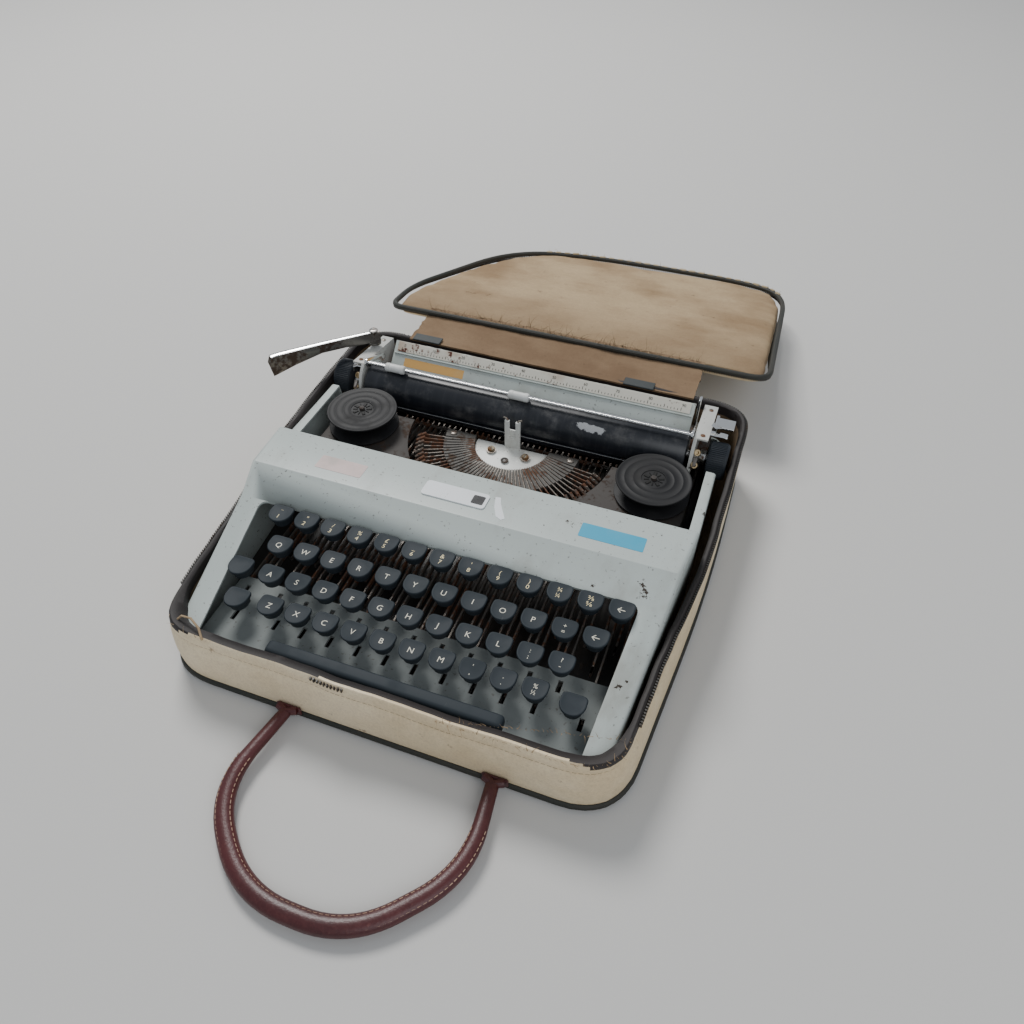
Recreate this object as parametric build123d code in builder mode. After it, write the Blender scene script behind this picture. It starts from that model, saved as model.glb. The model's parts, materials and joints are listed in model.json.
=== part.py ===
"""Portable typewriter standing in its open zip carrying case.

Millimetres, +Z up, +Y to the rear, +X to the typist's right.  The origin is the centre of the
case's underside.  Every block below makes one separate piece and writes it as one STEP file.
"""

import os
from math import atan2, cos, degrees, radians, sin, sqrt

from build123d import *

os.makedirs("parts", exist_ok=True)

# ---------------------------------------------------------------- driving dimensions
# carrying case
CASE_WIDTH = 326.0
CASE_FRONT = 157.0          # front face, measured forward of the origin
CASE_REAR = 163.0           # rear face, measured back from the origin
CASE_CORNER = 30.0          # rear corners
CASE_FRONT_CORNER = 34.0
CASE_TAPER = 16.0           # each side comes in by this at the front face
CASE_TAPER_Y = 20.0         # the sides are straight behind this
CASE_WALL = 4.5
FLOOR_BOARD = 4.0
RIM_FRONT = 46.0            # rim height at the front face
RIM_REAR = 59.0             # rim height at the rear face

# lid, lying open behind the tray
LID_THICK = 24.0
LID_LENGTH = 207.0
LID_HALF_WIDTH = 162.0
LID_PITCH = 9.8
SPINE_LENGTH = 40.0
SPINE_HALF_WIDTH = 119.0
SPINE_THICK = 2.5
LID_GAP = 1.0

# carrying handle
HANDLE_RADIUS = 4.6
HANDLE_HINGE_Z = 9.5
HANDLE_PITCH = 2.0          # the handle droops forward by this

# machine body
SHEET = 1.6
BODY_FRONT = 150.0
BODY_REAR = 150.0
BODY_HALF_FRONT = 136.0
BODY_HALF_REAR = 150.0
BODY_BOTTOM = 7.0
PAN_THICK = 1.5
SIDE_CLEAR = 0.6
FOOT_RADIUS = 9.0
BODY_CORNER = 14.0
FRONT_HEIGHT = 34.0
LIP_Y = -52.5               # free edge of the band above the number keys
LIP_Z = 60.0
CREASE_Y = -31.0
CREASE_Z = 72.0
BAND_REAR_Y = 8.0
BAND_REAR_Z = 70.0
RAIL_Z = 57.0               # top of the side rails beside the spools
RAIL_END_Y = 80.0
REAR_STRIP = 4.5            # deck left standing behind the well
DECK_Z = 33.0               # top of the body below the carriage
OPENING_HALF_REAR = 128.5
OPENING_HALF_FRONT = 121.0
OPENING_FRONT_Y = -146.0
WELL_HALF = 143.0

# keyboard
KEY_PITCH = 19.0
LANE_PITCH = KEY_PITCH / 4
CAP_WIDTH = 15.5
CAP_DEPTH = 14.5
CAP_HEIGHT = 8.0
CAP_CORNER = 2.0
STEM_DEPTH = 5.0
LEVER_THICK = 1.2
LEVER_TOP = 22.0
LEVER_HEIGHT = 4.0
LEVER_NOSE = 2.5            # lever length ahead of its stem's middle
FULCRUM_Y = 100.0
FULCRUM_Z = 20.0
ROD_RADIUS = 1.5
RUN_CLEAR = 0.05
LEVER_TAIL = 4.0
PANEL_TOP = 25.5
PANEL_REAR_Y = -90.0
PANEL_HALF = 127.0
SLOT_CLEAR = 0.8

# space bar
SPACE_HALF = 75.0
SPACE_DEPTH = 9.0
SPACE_Y = -140.0
SPACE_Z = 39.0
SPACE_HEIGHT = 7.0
SPACE_ARM_X = 123.5
SPACE_POST_X = 40.0

# type basket
BASKET_Y = 81.0             # centre of the type segment
SEGMENT_RADIUS = 52.0
SEGMENT_TOP = 39.0
SEGMENT_BOTTOM = 30.0
COVER_RADIUS = 29.0
COVER_TOP = 35.8
COVER_THICK = 1.2
BAR_COUNT = 43
FAN_ANGLE = 160.0
BAR_THICK = 0.8
BAR_HEIGHT = 3.0
BAR_SLOT = 1.1
PIVOT_RADIUS = 31.0
PIVOT_Z = 37.5
PIVOT_TAIL = 2.5
SLUG_WIDTH = 2.6
SLUG_THICK = 2.2
SLUG_LENGTH = 8.0
STRIKE_GAP = 0.3
PRINT_Z = 57.0
GUIDE_WIDTH = 12.0
GUIDE_THICK = 1.2
GUIDE_Y = 82.0
GUIDE_TOP = 60.5
GUIDE_NOTCH_Z = 45.5
GUIDE_NOTCH_WIDTH = 5.0

# ribbon spools
SPOOL_X = 111.0
SPOOL_Y = 57.0
SPOOL_RADIUS = 26.0
SPOOL_TOP = 60.0
SPOOL_BOTTOM = 46.0
FLANGE_THICK = 1.2
HUB_RADIUS = 9.0
SPOOL_PIN_RADIUS = 2.0
SPOOL_PIN_TOP = 61.5
SPOOL_PLATE_Z = 43.0
SPOOL_PLATE_THICK = 1.5

# side frames and rail
FRAME_X = 134.0
FRAME_THICK = 2.0
FRAME_FRONT_Y = 14.0
FRAME_REAR_Y = 145.0
TRACK_Y = 135.0
TRACK_DEPTH = 10.0
TRACK_BOTTOM = 26.0
TRACK_TOP = 37.0

# carriage
PLATEN_Y = 102.0
PLATEN_Z = 50.0
PLATEN_RADIUS = 16.0
PLATEN_HALF = 126.0
AXLE_RADIUS = 3.0
KNOB_INNER_X = 141.0
KNOB_OUTER_X = 155.0
KNOB_RADIUS = 13.5
END_X = 129.0
END_THICK = 2.5
END_FLANGE = 10.0
BED_HALF = 139.0
BED_FRONT_Y = 121.0
BED_REAR_Y = 148.0
BED_BOTTOM = 38.0
BED_THICK = 2.0
CHANNEL_LIP_Z = 34.5
APRON_GAP = 1.0             # air between platen and apron
APRON_THICK = 1.2
APRON_TOP_ANGLE = 196.0
APRON_BOTTOM_ANGLE = 228.0
TABLE_HALF = 123.0
TABLE_THICK = 1.2
TABLE_PITCH = 45.0
TABLE_TOP_Y = 142.0
TABLE_TOP_Z = 65.0
TABLE_LENGTH = 33.0

# paper bail
BAIL_RADIUS = 1.2
BAIL_PIVOT_Y = 124.0
BAIL_PIVOT_Z = 59.0
BAIL_ARM_X = 126.8
BAIL_ARM_THICK = 1.6
BAIL_ANGLE = 97.0           # where the bar rests on the platen, from +Y
ROLLER_RADIUS = 3.4
ROLLER_LENGTH = 16.0
ROLLER_GAP = 0.3
ROLLER_XS = (-103.0, -2.0)

# levers on the carriage
RETURN_PIVOT = (-135.0, 128.0)
RETURN_TIP = (-193.0, 68.0)
RETURN_THICK = 1.6
RETURN_TOP = 79.0

# ---------------------------------------------------------------- derived values
PAN_TOP = BODY_BOTTOM + PAN_THICK
LEVER_BOTTOM = LEVER_TOP - LEVER_HEIGHT
BAR_REACH_Y = PLATEN_Y - sqrt(PLATEN_RADIUS**2 - (PRINT_Z - SLUG_LENGTH / 2 - PLATEN_Z) ** 2)
STRIKE_Y = min(BAR_REACH_Y, PLATEN_Y - PLATEN_RADIUS) - STRIKE_GAP - SLUG_THICK / 2
PIVOT_Y = BASKET_Y - PIVOT_RADIUS
BAR_LENGTH = sqrt((STRIKE_Y - PIVOT_Y) ** 2 + (PRINT_Z - PIVOT_Z) ** 2)
STRIKE_ANGLE = 180 - degrees(atan2(PRINT_Z - PIVOT_Z, STRIKE_Y - PIVOT_Y))
BAIL_REACH = PLATEN_RADIUS + ROLLER_GAP + ROLLER_RADIUS
BAIL_Y = PLATEN_Y + BAIL_REACH * cos(radians(BAIL_ANGLE))
BAIL_Z = PLATEN_Z + BAIL_REACH * sin(radians(BAIL_ANGLE))

# each letter row: letters, x of the first key, y and z of the key tops
LETTER_ROWS = (
    ("qwertyuiop", -99.5, -79.7, 55.3),
    ("asdfghjkl", -94.75, -99.7, 50.6),
    ("zxcvbnm", -85.25, -118.0, 45.5),
)
NUMBER_ROW = (12, -109.0, -60.5, 62.0)
# keys to the right of the letters: x, y, z
SYMBOL_KEYS = (
    (90.5, -79.7, 55.3),
    (109.5, -79.7, 55.3),
    (76.25, -99.7, 50.6),
    (95.25, -99.7, 50.6),
    (47.75, -118.0, 45.5),
    (66.75, -118.0, 45.5),
    (85.75, -118.0, 45.5),
)
BACKSPACE = (119.0, -60.5, 62.0)
SHIFT_LOCK = (-116.0, -100.5, 51.5)
SHIFT_LOCK_LANE = -118.5
LEFT_SHIFT = (-108.0, -119.5, 45.5)
LEFT_SHIFT_LANE = -113.75
RIGHT_SHIFT = (108.5, -119.5, 44.5)
RIGHT_SHIFT_LANE = 114.25


def save(piece, name):
    """Label a finished piece and write it as one node."""
    piece.part.label = name
    export_step(piece.part, f"parts/{name}.step")


def side_plane(x):
    """Plane across the machine at x, drawn in (y, z)."""
    return Plane(origin=(x, 0, 0), x_dir=(0, 1, 0), z_dir=(1, 0, 0))


# ---------------------------------------------------------------- carrying case


def case_plan(inset):
    """Plan of the tray, tapering towards the front, drawn inset by a wall."""
    half = CASE_WIDTH / 2
    with BuildSketch(Plane.XY) as plan:
        with BuildLine():
            Polyline(
                (CASE_TAPER - half, -CASE_FRONT),
                (half - CASE_TAPER, -CASE_FRONT),
                (half, CASE_TAPER_Y),
                (half, CASE_REAR),
                (-half, CASE_REAR),
                (-half, CASE_TAPER_Y),
                close=True,
            )
        make_face()
        fillet(plan.vertices().group_by(Axis.Y)[0], CASE_FRONT_CORNER)
        fillet(plan.vertices().group_by(Axis.Y)[-1], CASE_CORNER)
        if inset:
            offset(amount=-inset, mode=Mode.REPLACE)
    return plan.sketch


tray_plan = case_plan(0)
tray_hollow = case_plan(CASE_WALL)
with BuildPart() as case_floor:
    add(tray_plan)
    extrude(amount=FLOOR_BOARD)
save(case_floor, "case_floor")

with BuildPart() as case_wall:
    with BuildSketch(Plane.XY.offset(FLOOR_BOARD)):
        add(tray_plan)
        add(tray_hollow, mode=Mode.SUBTRACT)
    extrude(amount=RIM_REAR)
    with BuildSketch(side_plane(-CASE_WIDTH)):
        with BuildLine():
            Polyline(
                (-CASE_FRONT - 1, RIM_FRONT),
                (CASE_REAR + 1, RIM_REAR),
                (CASE_REAR + 1, 2 * RIM_REAR),
                (-CASE_FRONT - 1, 2 * RIM_REAR),
                close=True,
            )
        make_face()
    extrude(amount=2 * CASE_WIDTH, mode=Mode.SUBTRACT)
save(case_wall, "case_wall")

# The lid is drawn in its own plane: u along X, v away from the hinge, top face at its origin.
LID_HINGE_Y = CASE_REAR + LID_GAP
LID_HINGE_Z = RIM_REAR + LID_GAP
LID_START_Y = LID_HINGE_Y + SPINE_LENGTH
lid_plane = Plane(
    origin=(0, LID_START_Y, LID_HINGE_Z),
    x_dir=(1, 0, 0),
    z_dir=(0, sin(radians(LID_PITCH)), cos(radians(LID_PITCH))),
)
with BuildPart() as case_lid:
    with BuildSketch(lid_plane):
        with BuildLine():
            FilletPolyline(
                (-LID_HALF_WIDTH + 8, -10),
                (LID_HALF_WIDTH + 8, -8),
                (LID_HALF_WIDTH + 6, LID_LENGTH - 22),
                (LID_HALF_WIDTH - 26, LID_LENGTH),
                (-18, LID_LENGTH),
                (-LID_HALF_WIDTH + 52, LID_LENGTH - 26),
                (-LID_HALF_WIDTH + 4, 40),
                radius=9,
                close=True,
            )
        make_face()
    extrude(amount=-LID_THICK)
    with BuildSketch(Plane.XY.offset(LID_HINGE_Z - SPINE_THICK)):
        with Locations((0, LID_HINGE_Y + LID_GAP / 2 + SPINE_LENGTH / 2)):
            Rectangle(2 * SPINE_HALF_WIDTH, SPINE_LENGTH)
    extrude(amount=SPINE_THICK)
save(case_lid, "case_lid")

handle_plane = Plane(
    origin=(0, -CASE_FRONT - LID_GAP - HANDLE_RADIUS, HANDLE_HINGE_Z),
    x_dir=(1, 0, 0),
    z_dir=(0, -sin(radians(HANDLE_PITCH)), cos(radians(HANDLE_PITCH))),
)
with BuildPart() as case_handle:
    with BuildLine(handle_plane):
        handle_path = FilletPolyline(
            (-55, 0),
            (-66, -55),
            (-24, -97),
            (38, -97),
            (82, -49),
            (77, 0),
            radius=32,
        )
    with BuildSketch(Plane(origin=handle_path @ 0, z_dir=handle_path % 0)):
        Circle(HANDLE_RADIUS)
    sweep(path=handle_path)
save(case_handle, "case_handle")

# ---------------------------------------------------------------- machine body


def body_outline(inset):
    """Plan of the body, tapering towards the front, drawn inset by a wall."""
    with BuildSketch(Plane.XY) as outline:
        with BuildLine():
            Polyline(
                (-BODY_HALF_FRONT, -BODY_FRONT),
                (BODY_HALF_FRONT, -BODY_FRONT),
                (BODY_HALF_REAR, BAND_REAR_Y),
                (BODY_HALF_REAR, BODY_REAR),
                (-BODY_HALF_REAR, BODY_REAR),
                (-BODY_HALF_REAR, BAND_REAR_Y),
                close=True,
            )
        make_face()
        front_corners = outline.vertices().group_by(Axis.Y)[0]
        rear_corners = outline.vertices().group_by(Axis.Y)[-1]
        fillet(front_corners + rear_corners, BODY_CORNER)
        if inset:
            offset(amount=-inset, mode=Mode.REPLACE)
    return outline.sketch


def body_profile(inset):
    """Side view of the body in (y, z), drawn inset by a wall and open below."""
    with BuildSketch(side_plane(-2 * BODY_HALF_REAR)) as profile:
        with BuildLine():
            Polyline(
                (-BODY_FRONT, -FRONT_HEIGHT),
                (-BODY_FRONT, FRONT_HEIGHT),
                (LIP_Y, LIP_Z),
                (CREASE_Y, CREASE_Z),
                (BAND_REAR_Y, BAND_REAR_Z),
                (BAND_REAR_Y + 4, RAIL_Z),
                (RAIL_END_Y, RAIL_Z),
                (RAIL_END_Y + 4, DECK_Z),
                (BODY_REAR, DECK_Z),
                (BODY_REAR, -FRONT_HEIGHT),
                close=True,
            )
        make_face()
        if inset:
            offset(amount=-inset, kind=Kind.INTERSECTION, mode=Mode.REPLACE)
    return profile.sketch


def body_block(inset):
    """Outer or inner form of the body: its plan and its side view, crossed."""
    outline = body_outline(inset)
    profile = body_profile(inset)
    with BuildPart() as block:
        add(outline)
        extrude(amount=2 * CREASE_Z, dir=(0, 0, 1))
        add(profile)
        extrude(amount=4 * BODY_HALF_REAR, dir=(1, 0, 0), mode=Mode.INTERSECT)
    return block.part


body_outer = body_block(0)
body_inner = body_block(SHEET)
with BuildPart() as housing:
    add(body_outer)
    add(body_inner, mode=Mode.SUBTRACT)
    with Locations((0, 0, 0)):
        Box(4 * BODY_HALF_REAR, 4 * BODY_REAR, 2 * BODY_BOTTOM, mode=Mode.SUBTRACT)
    # opening over the keys
    with BuildSketch(Plane.XY.offset(BODY_BOTTOM)):
        with BuildLine():
            Polyline(
                (-OPENING_HALF_FRONT, OPENING_FRONT_Y),
                (OPENING_HALF_FRONT, OPENING_FRONT_Y),
                (OPENING_HALF_REAR, LIP_Y),
                (-OPENING_HALF_REAR, LIP_Y),
                close=True,
            )
        make_face()
    extrude(amount=CREASE_Z, mode=Mode.SUBTRACT)
    # open well for the type basket, the spools and the carriage
    well_length = BODY_REAR - REAR_STRIP - BAND_REAR_Y
    with BuildSketch(Plane.XY.offset(BODY_BOTTOM)):
        with Locations((0, BAND_REAR_Y + well_length / 2)):
            Rectangle(2 * WELL_HALF, well_length)
    extrude(amount=CREASE_Z, mode=Mode.SUBTRACT)
save(housing, "housing")

pan_outline = body_outline(SHEET + SIDE_CLEAR)
with BuildPart() as base_pan:
    with BuildSketch(Plane.XY.offset(BODY_BOTTOM)):
        add(pan_outline)
    extrude(amount=PAN_THICK)
    with BuildSketch(Plane.XY.offset(FLOOR_BOARD)):
        with Locations((0, BODY_HALF_FRONT - BODY_FRONT)):
            with GridLocations(2 * (BODY_HALF_FRONT - 24), 2 * (BODY_FRONT - 30), 2, 2):
                Circle(FOOT_RADIUS)
    extrude(amount=BODY_BOTTOM - FLOOR_BOARD)
save(base_pan, "base_pan")

# Keyboard floor: a folded plate that stands on the base pan, slotted for the key stems.
panel_depth = PANEL_REAR_Y - OPENING_FRONT_Y - SLOT_CLEAR
with BuildPart() as keyboard_panel:
    with BuildSketch(Plane.XY.offset(PAN_TOP)):
        with Locations((0, PANEL_REAR_Y - panel_depth / 2)):
            Rectangle(2 * PANEL_HALF, panel_depth)
    extrude(amount=PANEL_TOP - PAN_TOP)
    with BuildSketch(Plane.XY.offset(PAN_TOP)):
        with Locations((0, PANEL_REAR_Y - panel_depth / 2 + SHEET)):
            Rectangle(2 * (PANEL_HALF - SHEET), panel_depth)
    extrude(amount=PANEL_TOP - SHEET - PAN_TOP, mode=Mode.SUBTRACT)
    slot_places = [(LEFT_SHIFT_LANE, LEFT_SHIFT[1]), (RIGHT_SHIFT_LANE, RIGHT_SHIFT[1])]
    slot_places += [(SHIFT_LOCK_LANE, SHIFT_LOCK[1])]
    for letters, first_x, row_y, _ in LETTER_ROWS[1:]:
        slot_places += [(first_x + KEY_PITCH * i, row_y) for i in range(len(letters))]
    slot_places += [(x, y) for x, y, _ in SYMBOL_KEYS if y < PANEL_REAR_Y]
    slot_places += [(-SPACE_POST_X, SPACE_Y), (SPACE_POST_X, SPACE_Y)]
    with BuildSketch(Plane.XY.offset(PANEL_TOP - 2 * SHEET)):
        with Locations(*slot_places):
            Rectangle(LEVER_THICK + 2 * SLOT_CLEAR, STEM_DEPTH + 4 * SLOT_CLEAR)
    extrude(amount=3 * SHEET, mode=Mode.SUBTRACT)
save(keyboard_panel, "keyboard_panel")

with BuildPart() as side_frames:
    for side in (-1, 1):
        with BuildSketch(side_plane(side * FRAME_X)):
            with BuildLine():
                Polyline(
                    (FRAME_FRONT_Y, PAN_TOP),
                    (FRAME_REAR_Y, PAN_TOP),
                    (FRAME_REAR_Y, DECK_Z - SHEET),
                    (RAIL_END_Y, DECK_Z - SHEET),
                    (RAIL_END_Y - SHEET, SPOOL_PLATE_Z),
                    (FRAME_FRONT_Y, SPOOL_PLATE_Z),
                    close=True,
                )
            make_face()
        extrude(amount=side * FRAME_THICK)
save(side_frames, "side_frames")

with BuildPart() as fulcrum_rod:
    with BuildSketch(side_plane(-FRAME_X)):
        with Locations((FULCRUM_Y, FULCRUM_Z)):
            Circle(ROD_RADIUS)
    extrude(amount=2 * FRAME_X)
save(fulcrum_rod, "fulcrum_rod")

with BuildPart() as carriage_rail:
    with BuildSketch(side_plane(-FRAME_X)):
        with Locations((TRACK_Y, (TRACK_BOTTOM + TRACK_TOP) / 2)):
            Rectangle(TRACK_DEPTH, TRACK_TOP - TRACK_BOTTOM)
    extrude(amount=2 * FRAME_X)
save(carriage_rail, "carriage_rail")

# Spool plates: one each side, with a triangular window, and the pin its spool turns on.
FAN_CLEAR_RADIUS = SEGMENT_RADIUS + 26
with BuildPart() as spool_plates:
    for side in (-1, 1):
        with BuildSketch(Plane.XY.offset(SPOOL_PLATE_Z)):
            with BuildLine():
                Polyline(
                    (side * 34, BAND_REAR_Y + 2),
                    (side * 124, BAND_REAR_Y + 2),
                    (side * (FRAME_X + FRAME_THICK), SPOOL_Y - SPOOL_RADIUS),
                    (side * (FRAME_X + FRAME_THICK), RAIL_END_Y - 4),
                    (side * 70, RAIL_END_Y - 4),
                    close=True,
                )
            make_face()
            with Locations((0, BASKET_Y)):
                Circle(FAN_CLEAR_RADIUS, mode=Mode.SUBTRACT)
            with BuildLine():
                Polyline(
                    (side * 87, BAND_REAR_Y + 8),
                    (side * 118, BAND_REAR_Y + 8),
                    (side * 102, BAND_REAR_Y + 20),
                    close=True,
                )
            make_face(mode=Mode.SUBTRACT)
        extrude(amount=SPOOL_PLATE_THICK)
        with BuildSketch(Plane.XY.offset(SPOOL_PLATE_Z + SPOOL_PLATE_THICK)):
            with Locations((side * SPOOL_X, SPOOL_Y)):
                Circle(SPOOL_PIN_RADIUS)
        extrude(amount=SPOOL_PIN_TOP - SPOOL_PLATE_Z - SPOOL_PLATE_THICK)
save(spool_plates, "spool_plates")

for side, side_name in ((-1, "left"), (1, "right")):
    with BuildPart() as spool:
        with BuildSketch(Plane.XY.offset(SPOOL_BOTTOM)):
            with Locations((side * SPOOL_X, SPOOL_Y)):
                Circle(SPOOL_RADIUS)
        extrude(amount=FLANGE_THICK)
        with BuildSketch(Plane.XY.offset(SPOOL_BOTTOM + FLANGE_THICK)):
            with Locations((side * SPOOL_X, SPOOL_Y)):
                Circle(HUB_RADIUS)
        extrude(amount=SPOOL_TOP - SPOOL_BOTTOM - 2 * FLANGE_THICK)
        with BuildSketch(Plane.XY.offset(SPOOL_TOP - FLANGE_THICK)):
            with Locations((side * SPOOL_X, SPOOL_Y)):
                Circle(SPOOL_RADIUS)
        extrude(amount=FLANGE_THICK)
        with BuildSketch(Plane.XY.offset(SPOOL_BOTTOM)):
            with Locations((side * SPOOL_X, SPOOL_Y)):
                Circle(SPOOL_PIN_RADIUS + RUN_CLEAR)
                with PolarLocations(HUB_RADIUS - 3, 6):
                    Circle(1.4)
        extrude(amount=SPOOL_TOP - SPOOL_BOTTOM, mode=Mode.SUBTRACT)
    save(spool, f"spool_{side_name}")

# ---------------------------------------------------------------- type basket
FAN_STEP = FAN_ANGLE / (BAR_COUNT - 1)
FAN_PLACES = [FAN_STEP * i - FAN_ANGLE / 2 for i in range(BAR_COUNT)]
basket_frame = Plane(origin=(0, BASKET_Y, 0))

with BuildPart() as type_segment:
    with BuildSketch(basket_frame.offset(SEGMENT_BOTTOM)):
        Circle(SEGMENT_RADIUS)
        with Locations((0, SEGMENT_RADIUS / 2)):
            Rectangle(2 * SEGMENT_RADIUS, SEGMENT_RADIUS, mode=Mode.SUBTRACT)
    extrude(amount=SEGMENT_TOP - SEGMENT_BOTTOM)
    with BuildSketch(basket_frame.offset(COVER_TOP - COVER_THICK)):
        Circle(COVER_RADIUS)
    extrude(amount=SEGMENT_TOP, mode=Mode.SUBTRACT)
    slot_inner = COVER_RADIUS - 2
    with BuildSketch(basket_frame.offset(SEGMENT_BOTTOM)):
        for turn in FAN_PLACES:
            middle = (slot_inner + SEGMENT_RADIUS + 1) / 2
            spot = (middle * sin(radians(turn)), -middle * cos(radians(turn)))
            with Locations(Location((*spot, 0), (0, 0, turn))):
                Rectangle(BAR_SLOT, SEGMENT_RADIUS + 1 - slot_inner)
    extrude(amount=SEGMENT_TOP, mode=Mode.SUBTRACT)
save(type_segment, "type_segment")

# Cover plate with the type guide folded up from its rear edge.
with BuildPart() as segment_cover:
    with BuildSketch(basket_frame.offset(COVER_TOP - COVER_THICK)):
        Circle(COVER_RADIUS - SLOT_CLEAR)
        with Locations((0, SEGMENT_RADIUS / 2)):
            Rectangle(2 * SEGMENT_RADIUS, SEGMENT_RADIUS, mode=Mode.SUBTRACT)
    extrude(amount=COVER_THICK)
    with BuildSketch(Plane.XZ.offset(-GUIDE_Y)) as guide_face:
        with Locations((0, (COVER_TOP - COVER_THICK + GUIDE_TOP) / 2)):
            Rectangle(GUIDE_WIDTH, GUIDE_TOP - COVER_TOP + COVER_THICK)
        with Locations((0, (GUIDE_NOTCH_Z + GUIDE_TOP) / 2)):
            Rectangle(GUIDE_NOTCH_WIDTH, GUIDE_TOP - GUIDE_NOTCH_Z, mode=Mode.SUBTRACT)
    extrude(amount=GUIDE_Y - BASKET_Y + GUIDE_THICK)
save(segment_cover, "segment_cover")


def typebar_at(turn):
    """One typebar at rest, with its type slug, turned about the basket's centre."""
    swing = radians(STRIKE_ANGLE)
    with BuildPart() as bar:
        with BuildSketch(side_plane(-BAR_THICK / 2)):
            with Locations((BASKET_Y - PIVOT_RADIUS + (PIVOT_TAIL - BAR_LENGTH) / 2, PIVOT_Z)):
                Rectangle(BAR_LENGTH + PIVOT_TAIL, BAR_HEIGHT)
        extrude(amount=BAR_THICK)
        tip = (0, PIVOT_Y - BAR_LENGTH, PIVOT_Z)
        slug_plane = Plane(origin=tip, x_dir=(1, 0, 0), z_dir=(0, cos(swing), sin(swing)))
        with BuildSketch(slug_plane.offset(-SLUG_THICK / 2)):
            Rectangle(SLUG_WIDTH, SLUG_LENGTH)
        extrude(amount=SLUG_THICK)
    centre = Axis((0, BASKET_Y, 0), (0, 0, 1))
    return bar.part.rotate(centre, turn)


with BuildPart() as typebars:
    for turn in FAN_PLACES:
        if abs(turn) > FAN_STEP / 2:
            add(typebar_at(turn))
save(typebars, "typebars")

with BuildPart() as centre_typebar:
    add(typebar_at(0))
save(centre_typebar, "centre_typebar")

# ---------------------------------------------------------------- carriage
with BuildPart() as carriage_bed:
    with BuildSketch(Plane.XY.offset(BED_BOTTOM)):
        with Locations((0, (BED_FRONT_Y + BED_REAR_Y) / 2)):
            Rectangle(2 * BED_HALF, BED_REAR_Y - BED_FRONT_Y)
    extrude(amount=BED_THICK)
    with BuildSketch(Plane.XY.offset(CHANNEL_LIP_Z)):
        for side in (-1, 1):
            with Locations((0, TRACK_Y + side * (TRACK_DEPTH / 2 + 1 + SHEET / 2))):
                Rectangle(2 * BED_HALF, SHEET)
    extrude(amount=BED_BOTTOM - CHANNEL_LIP_Z)
save(carriage_bed, "carriage_bed")

BED_TOP = BED_BOTTOM + BED_THICK
END_OUTER_X = END_X + END_THICK
with BuildPart() as carriage_ends:
    for side in (-1, 1):
        with BuildSketch(side_plane(side * END_X)):
            with BuildLine():
                Polyline(
                    (BED_REAR_Y, BED_TOP),
                    (BED_REAR_Y, PLATEN_Z + 11.5),
                    (PLATEN_Y - 4, PLATEN_Z + 19),
                    (PLATEN_Y - 10, PLATEN_Z + 12),
                    (PLATEN_Y - 16, PLATEN_Z - 2),
                    (PLATEN_Y - 14, BED_BOTTOM),
                    (BED_FRONT_Y - 1, BED_BOTTOM),
                    (BED_FRONT_Y - 1, BED_TOP),
                    close=True,
                )
            make_face()
            with Locations((PLATEN_Y, PLATEN_Z)):
                Circle(AXLE_RADIUS + RUN_CLEAR, mode=Mode.SUBTRACT)
        extrude(amount=side * END_THICK)
        with BuildSketch(side_plane(side * END_X)):
            with BuildLine():
                Polyline(
                    (BED_REAR_Y, PLATEN_Z + 11.5),
                    (PLATEN_Y - 4, PLATEN_Z + 19),
                    (PLATEN_Y - 4, PLATEN_Z + 17.5),
                    (BED_REAR_Y, PLATEN_Z + 10),
                    close=True,
                )
            make_face()
        extrude(amount=side * END_FLANGE)
        with BuildSketch(side_plane(side * END_X)):
            with Locations((BAIL_PIVOT_Y, BAIL_PIVOT_Z)):
                Circle(ROD_RADIUS)
        extrude(amount=side * (BAIL_ARM_X - SHEET / 4 - END_X))
save(carriage_ends, "carriage_ends")

with BuildPart() as paper_table:
    run = TABLE_LENGTH * cos(radians(TABLE_PITCH))
    rise = TABLE_LENGTH * sin(radians(TABLE_PITCH))
    with BuildSketch(side_plane(-TABLE_HALF)):
        with BuildLine():
            Polyline(
                (TABLE_TOP_Y, TABLE_TOP_Z),
                (TABLE_TOP_Y - run, TABLE_TOP_Z - rise),
                (TABLE_TOP_Y - run + TABLE_THICK, TABLE_TOP_Z - rise - TABLE_THICK),
                (TABLE_TOP_Y + TABLE_THICK, TABLE_TOP_Z - TABLE_THICK),
                close=True,
            )
        make_face()
    extrude(amount=2 * TABLE_HALF)
    for rib_x in (-100, 100):
        with BuildSketch(side_plane(rib_x)):
            with BuildLine():
                Polyline(
                    (BED_FRONT_Y + 2, BED_TOP),
                    (BED_REAR_Y - 3, BED_TOP),
                    (TABLE_TOP_Y, TABLE_TOP_Z - TABLE_THICK),
                    (BED_FRONT_Y + 2, TABLE_TOP_Z - (TABLE_TOP_Y - BED_FRONT_Y - 2) - TABLE_THICK),
                    close=True,
                )
            make_face()
        extrude(amount=SHEET)
save(paper_table, "paper_table")



def apron_point(radius, angle):
    """Point on the apron's section, measured round the platen."""
    return (
        PLATEN_Y + radius * cos(radians(angle)),
        PLATEN_Z + radius * sin(radians(angle)),
    )


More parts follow.
